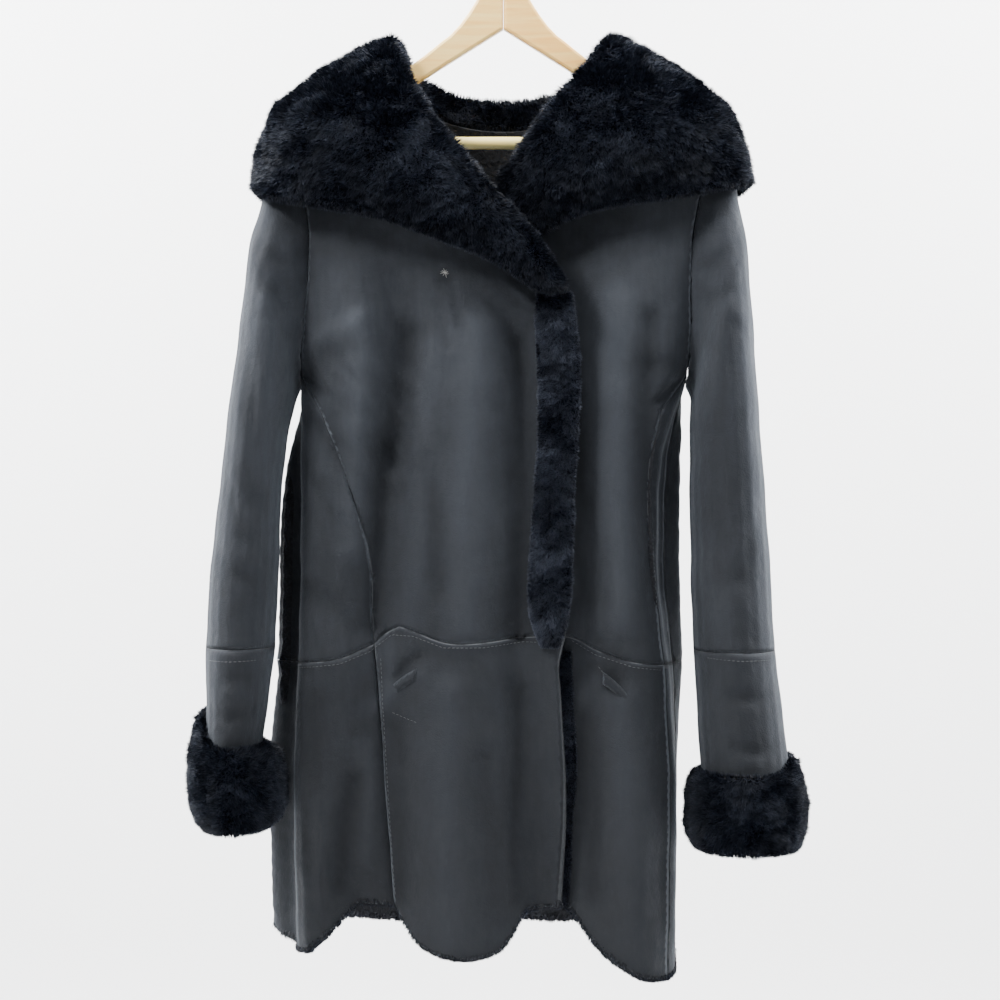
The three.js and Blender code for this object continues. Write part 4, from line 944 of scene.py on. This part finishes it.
def fur_growth(mesh, skin_depth):
    """Draws the fur side in, and stores where fur grows and how long it is there."""
    co, _ = arrays(mesh)
    out = np.zeros_like(co)
    grows = np.zeros(len(co))
    inside = [tuple(face.vertices) for face in mesh.polygons if face.material_index == INSIDE]
    on_inside = np.zeros(len(co), bool)
    on_inside[[index for face in inside for index in face]] = True
    for face in mesh.polygons:
        if face.material_index != INSIDE:
            for index in face.vertices:
                out[index] += np.array(face.normal) * face.area
                grows[index] = 1.0
    out /= np.linalg.norm(out, axis=1, keepdims=True) + 1e-12
    leather = BVHTree.FromPolygons(co.tolist(), inside)
    room = np.array([
        0.0 if leathery else leather.find_nearest(point)[3]
        for leathery, point in zip(on_inside, co.tolist())
    ])
    inset = np.minimum(skin_depth * MM, ROOM_SHARE * room)
    x, y, z = co.T
    lumps = np.sin(x * 210 + 3 * np.sin(z * 90)) * np.sin(z * 240 + 2 * np.sin(y * 130))
    moved = co - out * (inset * (1 + LUMP * lumps))[:, None]
    seam = np.abs(co[:, 0]) < SEAM_SIDE
    moved[seam, 0] = co[seam, 0]
    mesh.vertices.foreach_set("co", moved.ravel())
    mesh.update()
    grows[on_inside] = LEATHER_GROWTH
    store(mesh, "growth", grows)
    store(mesh, "pile", EDGE_PILE + (1 - EDGE_PILE) * np.clip(inset / (skin_depth * MM), 0, 1))
    return grows


for node, skin_depth, locks, length, lie, seed in FURRED:
    skin = cloth_wall(node, [UNDER, SUEDE, UNDER], passes=FUR_PASSES, facet=BROAD_FACET)
    for plain in ("hollow", "pale_edge"):
        store(skin.data, plain, np.zeros(len(skin.data.vertices)))
    grows = fur_growth(skin.data, skin_depth)
    furs[node] = grow(skin, node + "_fur", grows, locks, {
        "Length": length * MM, "Lie": lie, "Patch size": 26.0, "Patch lean": 1.6, "Tuft size": 96.0,
        "Tuft pull": 9.0, "Stray": 0.2, "Seed": seed, "Material": BAND_FUR if node in BANDS else FUR,
    })

# %% [markdown]
# ## Stitches
# A line of sewing is one short thread shape at an even step. Each line is drawn on the
# front and thrown back onto the suede. The tree sets a spindle of thread every few mm along it.

# %% The front of the coat as one surface to sew on
SEWN_ON = PANELS + SLEEVES
LAY_STEP = 3.0
front_points, front_faces = [], []
for node in SEWN_ON:
    cloth = made[node].data
    start = len(front_points)
    front_points += [tuple(vertex.co) for vertex in cloth.vertices]
    front_faces += [tuple(start + i for i in face.vertices) for face in cloth.polygons]
suede_front = BVHTree.FromPolygons(front_points, front_faces)


def on_front(x, drop, rest):
    """The point of the suede at x and drop, seen from the front, and lifted by rest, all in mm."""
    hit, normal, _, _ = suede_front.ray_cast(Vector((x * MM, -1, -drop * MM)), Vector((0, 1, 0)))
    if hit is None:
        return None
    return hit + normal * rest * MM


def laid_line(path, rest):
    """Points along a drawn line, laid on the suede."""
    laid = []
    for start, end in zip(path[:-1], path[1:]):
        start, end = Vector(start), Vector(end)
        count = max(1, round((end - start).length / LAY_STEP))
        for k in range(count):
            spot = start.lerp(end, k / count)
            point = on_front(spot.x, spot.y, rest)
            if point is not None:
                laid.append(point)
    return laid


# %% Closed tubes, for threads and rods
def tube_faces(rings, sides, start=0):
    """The faces of a closed tube whose points are given ring by ring from the number start."""
    faces = []
    for ring in range(rings - 1):
        for corner in range(sides):
            a = start + ring * sides + corner
            b = start + ring * sides + (corner + 1) % sides
            faces.append((a, b, b + sides, a + sides))
    last = start + (rings - 1) * sides
    faces.append(tuple(start + sides - 1 - corner for corner in range(sides)))
    faces.append(tuple(last + corner for corner in range(sides)))
    return faces


def tube_mesh(name, points, faces, finish):
    mesh = bpy.data.meshes.new(name)
    mesh.from_pydata(points, [], faces)
    mesh.materials.append(finish)
    bm = bmesh.new()
    bm.from_mesh(mesh)
    bmesh.ops.recalc_face_normals(bm, faces=bm.faces)
    bm.to_mesh(mesh)
    bm.free()
    return mesh


# %% One stitch and the tree that sews
STITCH = 3.1 * MM
STITCH_STEP = 4.4 * MM
STITCH_REST = 0.2
STITCH_RINGS = [(-0.5, 0.3), (-0.25, 0.95), (0.25, 0.95), (0.5, 0.3)]     # along it, and how thick
STITCH_SIDES = 4
THREAD_RADIUS = 0.33 * MM
stitch_points = []
for along, thick in STITCH_RINGS:
    for side in range(STITCH_SIDES):
        angle = math.pi / 2 * side
        radius = THREAD_RADIUS * thick
        stitch_points.append((radius * math.cos(angle), radius * math.sin(angle), STITCH * along))
stitch_faces = tube_faces(len(STITCH_RINGS), STITCH_SIDES)
stitch = bench_object("stitch", stitch_points, stitch_faces)

SEW_SOCKETS = [
    ("Geometry", "Geometry"), ("Stitch", "Object"), ("Step", "Float"),
    ("Material", "Material"),
]
sew_tree, given = new_tree("sew", SEW_SOCKETS)
seam_curve = output_of(sew_tree, "GeometryNodeMeshToCurve", {"Mesh": given["Geometry"]})
stepped = {"Curve": seam_curve, "Length": given["Step"]}
even = output_of(sew_tree, "GeometryNodeResampleCurve", stepped, mode="LENGTH")
run_way = output_of(sew_tree, "GeometryNodeInputTangent")
wobble = random_value(sew_tree, (-0.12, -0.12, -0.12), (0.12, 0.12, 0.12), 21, "FLOAT_VECTOR")
run_way = vector_math(sew_tree, "ADD", run_way, wobble)
along_seam = output_of(sew_tree, "FunctionNodeAlignRotationToVector", {"Vector": run_way}, axis="Z")
stitch_info = add_node(sew_tree, "GeometryNodeObjectInfo", {"Object": given["Stitch"]})
sewn = output_of(
    sew_tree, "GeometryNodeInstanceOnPoints",
    {"Points": even, "Instance": stitch_info.outputs["Geometry"], "Rotation": along_seam},
)
end_tree(sew_tree, sewn, given["Material"])


def sew(name, path):
    points = laid_line(path, STITCH_REST)
    guide = bench_object(name + "_guide", points, [], [(i, i + 1) for i in range(len(points) - 1)])
    settings = {"Stitch": stitch, "Step": STITCH_STEP, "Material": THREAD}
    sewn_line = run_tree(guide, sew_tree, settings, name)
    print(name, "stitches", len(sewn_line.data.polygons) // len(stitch_faces))
    return sewn_line


# %% Where the coat is topstitched
SEAM_LINES = {
    "stitches_hip_left": [
        (-206, 769), (-164, 764), (-134, 752), (-112, 735), (-90, 736), (-60, 747), (-20, 747), (20, 742),
        (60, 742),
    ],
    "stitches_hip_right": [(70, 742), (92, 755), (130, 767), (160, 771)],
    "stitches_princess_left": [(-123, 760), (-119, 839), (-115, 902), (-111, 960), (-108, 996)],
    "stitches_princess_right": [(150, 640), (156, 729), (160, 762)],
    "stitches_pocket_left": [(-110, 813), (-97, 818), (-85, 822)],
    "stitches_pocket_right": [(96, 768), (104, 779), (113, 791)],
    "stitches_sleeve_left": [(-292, 760), (-270, 760), (-244, 759)],
    "stitches_sleeve_right": [(205, 758), (235, 760), (268, 760)],
}
stitches = [sew(name, path) for name, path in SEAM_LINES.items()]

# %% [markdown]
# A tack of pale thread holds the chest to the lining. It pulls a dimple into the suede, and its
# five strands lie across one another like a star.

# %% The tack
TACK_AT = (-58.5, 372)
TACK_STRANDS = [(15, 5.2), (62, 4.2), (108, 5.6), (141, 3.8), (168, 4.6)]
TACK_RINGS = [(-1, 0.4, 0.0), (-0.5, 1.0, 0.5), (0, 1.0, 0.7), (0.5, 1.0, 0.5), (1, 0.4, 0.0)]
TACK_SIDES = 6
TACK_RADIUS = 0.24 * MM
TACK_REST = 0.5
STRAND_LIFT = 0.14 * MM
STRAND_CURVE = 0.3 * MM
tack_points, tack_faces = [], []
middle = on_front(*TACK_AT, TACK_REST)
for strand, (turn, half) in enumerate(TACK_STRANDS):
    way = Vector((math.cos(math.radians(turn)), 0, math.sin(math.radians(turn))))
    side = Vector((-way.z, 0, way.x))
    lift = Vector((0, -STRAND_LIFT * strand, 0))
    tack_faces += tube_faces(len(TACK_RINGS), TACK_SIDES, len(tack_points))
    for share, thick, bow in TACK_RINGS:
        spine = middle + lift + way * (share * half * MM) + Vector((0, -bow * MM, 0))
        spine += side * (STRAND_CURVE * share * share)
        for corner in range(TACK_SIDES):
            angle = math.pi / 3 * corner
            around = side * math.cos(angle) + Vector((0, -1, 0)) * math.sin(angle)
            tack_points.append(spine + around * TACK_RADIUS * thick)
tack = add_object("tack", tube_mesh("tack", tack_points, tack_faces, TACK))

# %% [markdown]
# The wool shows as a fringe below the cut hem. It is the same fur tree, grown only on the cut
# faces that look down.

# %% Fringe at the hem
HEM_NODES = [node for node in PANELS if node.endswith("lower")]
HEM_LOCKS = 3000
HEM_BELOW = -0.98
DOWN = -0.5


def hem_growth(mesh):
    """Grows only where a cut face looks down."""
    grows = np.zeros(len(mesh.vertices))
    for face in mesh.polygons:
        if face.material_index == CUT and face.normal.z < DOWN and face.center.z < HEM_BELOW:
            for index in face.vertices:
                grows[index] = 1.0
    store(mesh, "growth", grows)
    store(mesh, "pile", np.ones(len(grows)))
    return grows


fringes = {}
for seed, node in enumerate(HEM_NODES, 31):
    hem = made[node]
    count = HEM_LOCKS
    fringes[node] = grow(hem, node + "_fringe", hem_growth(hem.data), count, {
        "Length": 4.2 * MM, "Lie": (0, 0, -0.9), "Patch size": 30.0, "Patch lean": 0.6,
        "Tuft size": 110.0, "Tuft pull": 20.0, "Stray": 0.3, "Seed": seed, "Material": FUR,
    })

# %% [markdown]
# ## The hanger
# The two arms keep their CAD shape. The bar and the hook are drawn again with finer curves.


# %% Arms, bar and hook
def turned_rod(name, outline, sides, finish):
    """A round rod along X from a list of (x, radius)."""
    points = []
    for x, radius in outline:
        for k in range(sides):
            angle = 2 * math.pi * k / sides
            points.append((x, radius * math.cos(angle), radius * math.sin(angle)))
    mesh = tube_mesh(name, points, tube_faces(len(outline), sides), finish)
    for face in mesh.polygons:
        face.use_smooth = len(face.vertices) == 4
    return add_object(name, mesh)


bar_low, bar_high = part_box("hanger_bar")
bar_z = (bar_low.z + bar_high.z) / 2
bar_radius = (bar_high.z - bar_low.z) / 2
BAR_HALF = 170 * MM
BAR_SIDES = 40
TENON = 3.6 * MM
ROUNDED_END = 0.93
bar_end = bar_radius * ROUNDED_END
outline = [
    (bar_low.x, TENON), (-BAR_HALF, TENON), (-BAR_HALF, bar_end), (-BAR_HALF + MM, bar_radius),
    (BAR_HALF - MM, bar_radius), (BAR_HALF, bar_end), (BAR_HALF, TENON), (bar_high.x, TENON),
]
bar = turned_rod("trouser_bar", outline, BAR_SIDES, WOOD_BAR)
for vertex in bar.data.vertices:
    vertex.co.z += bar_z

WIRE = 1.9 * MM
HOOK_STEM = [(0, -78), (0, -62), (0, -54), (4, -44)]    # in mm, like the bend below
HOOK_RADIUS = 21
HOOK_MIDDLE = -19.1
HOOK_FROM, HOOK_TURN = -30, 230                         # in degrees
HOOK_STEPS = 14
hook_points = list(HOOK_STEM)
for step in range(HOOK_STEPS + 1):
    angle = math.radians(HOOK_FROM + step * HOOK_TURN / HOOK_STEPS)
    hook_points.append((HOOK_RADIUS * math.cos(angle), HOOK_RADIUS * math.sin(angle) + HOOK_MIDDLE))
line = bpy.data.curves.new("hook_wire", "CURVE")
line.dimensions = "3D"
line.bevel_depth = WIRE
line.bevel_resolution = 5
line.use_fill_caps = True
spline = line.splines.new("NURBS")
spline.points.add(len(hook_points) - 1)
for point, (x, z) in zip(spline.points, hook_points):
    point.co = (x * MM, 0, z * MM, 1)
spline.use_endpoint_u = True
spline.order_u = 4
spline.resolution_u = 6
drawn = add_object("hook_drawn", line)
hook_mesh = bpy.data.meshes.new_from_object(drawn.evaluated_get(bpy.context.evaluated_depsgraph_get()))
bpy.data.objects.remove(drawn)
hook_mesh.materials.append(METAL)
hook = add_object("hook_wire", hook_mesh)

KEPT_PARTS = {"hanger_arm_left": WOOD_LEFT, "hanger_arm_right": WOOD_RIGHT, "hook_ferrule": METAL}
for node, finish in KEPT_PARTS.items():
    part = frame["nodes"][node]
    for part_slot in part.material_slots:
        part_slot.link = "OBJECT"
        part_slot.material = finish

# %% [markdown]
# ## Everything rides on the one body
# The coat has no joints, so all pieces ride on the root. Each cloth piece's size when it is
# laid flat, before it was sewn and hung, is listed, and its cut area is printed beside half the
# surface of its wall.

# %% Ride, replace and print the sizes
SHEETS = {
    # node: (width, length, area of the cut), in metres and square metres
    "front_left_upper": (0.315, 0.600, 0.132),
    "front_left_lower": (0.215, 0.335, 0.063),
    "side_front_left_upper": (0.120, 0.295, 0.028),
    "side_front_left_lower": (0.155, 0.312, 0.042),
    "front_right_upper": (0.210, 0.620, 0.091),
    "front_right_lower": (0.150, 0.350, 0.047),
    "side_front_right_upper": (0.075, 0.295, 0.016),
    "side_front_right_lower": (0.066, 0.315, 0.0192),
    "back_upper": (0.560, 0.620, 0.274),
    "back_lower": (0.560, 0.312, 0.159),
    "sleeve_left_upper_front": (0.165, 0.530, 0.074),
    "sleeve_left_upper_back": (0.163, 0.530, 0.073),
    "sleeve_left_lower_front": (0.160, 0.175, 0.0265),
    "sleeve_left_lower_back": (0.160, 0.175, 0.0265),
    "sleeve_right_upper_front": (0.165, 0.535, 0.0757),
    "sleeve_right_upper_back": (0.165, 0.535, 0.0755),
    "sleeve_right_lower_front": (0.182, 0.192, 0.0334),
    "sleeve_right_lower_back": (0.182, 0.192, 0.0334),
    "pocket_welt_left": (0.018, 0.050, 0.0006),
    "pocket_welt_right": (0.014, 0.045, 0.0005),
    "collar_left": (0.330, 0.440, 0.105),
    "collar_right": (0.310, 0.420, 0.099),
    "cuff_left_front": (0.155, 0.118, 0.0173),
    "cuff_left_back": (0.165, 0.120, 0.0193),
    "cuff_right_front": (0.175, 0.100, 0.0166),
    "cuff_right_back": (0.185, 0.100, 0.0176),
    "front_band": (0.040, 0.352, 0.0138),
    "edge_strip_right": (0.026, 0.252, 0.0063),
}


def measured(piece):
    """Half the surface of a wall, and the widths of its box, for the table of cuts."""
    area = sum(face.area for face in piece.data.polygons) / 2
    return round(area, 4), [round(v, 3) for v in piece.dimensions]


for node, piece in made.items():
    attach(piece, BODY)
    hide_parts(node)
    with_pieces = [grown[node] for grown in (furs, fringes) if node in grown]
    for fur in with_pieces:
        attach(fur, BODY)
    area, spans = measured(piece)
    width, length, cut = SHEETS[node]
    print(node, "half surface", area, "cut", cut, "spans", spans)

for sewn_line in stitches + [tack]:
    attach(sewn_line, BODY)

for rod, node, slot in ((bar, "hanger_bar", "wood_pale"), (hook, "hook", "hook_metal")):
    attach(rod, BODY)
    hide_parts(node)

for tool in list(bench.objects):
    bpy.data.objects.remove(tool)
bpy.data.collections.remove(bench)
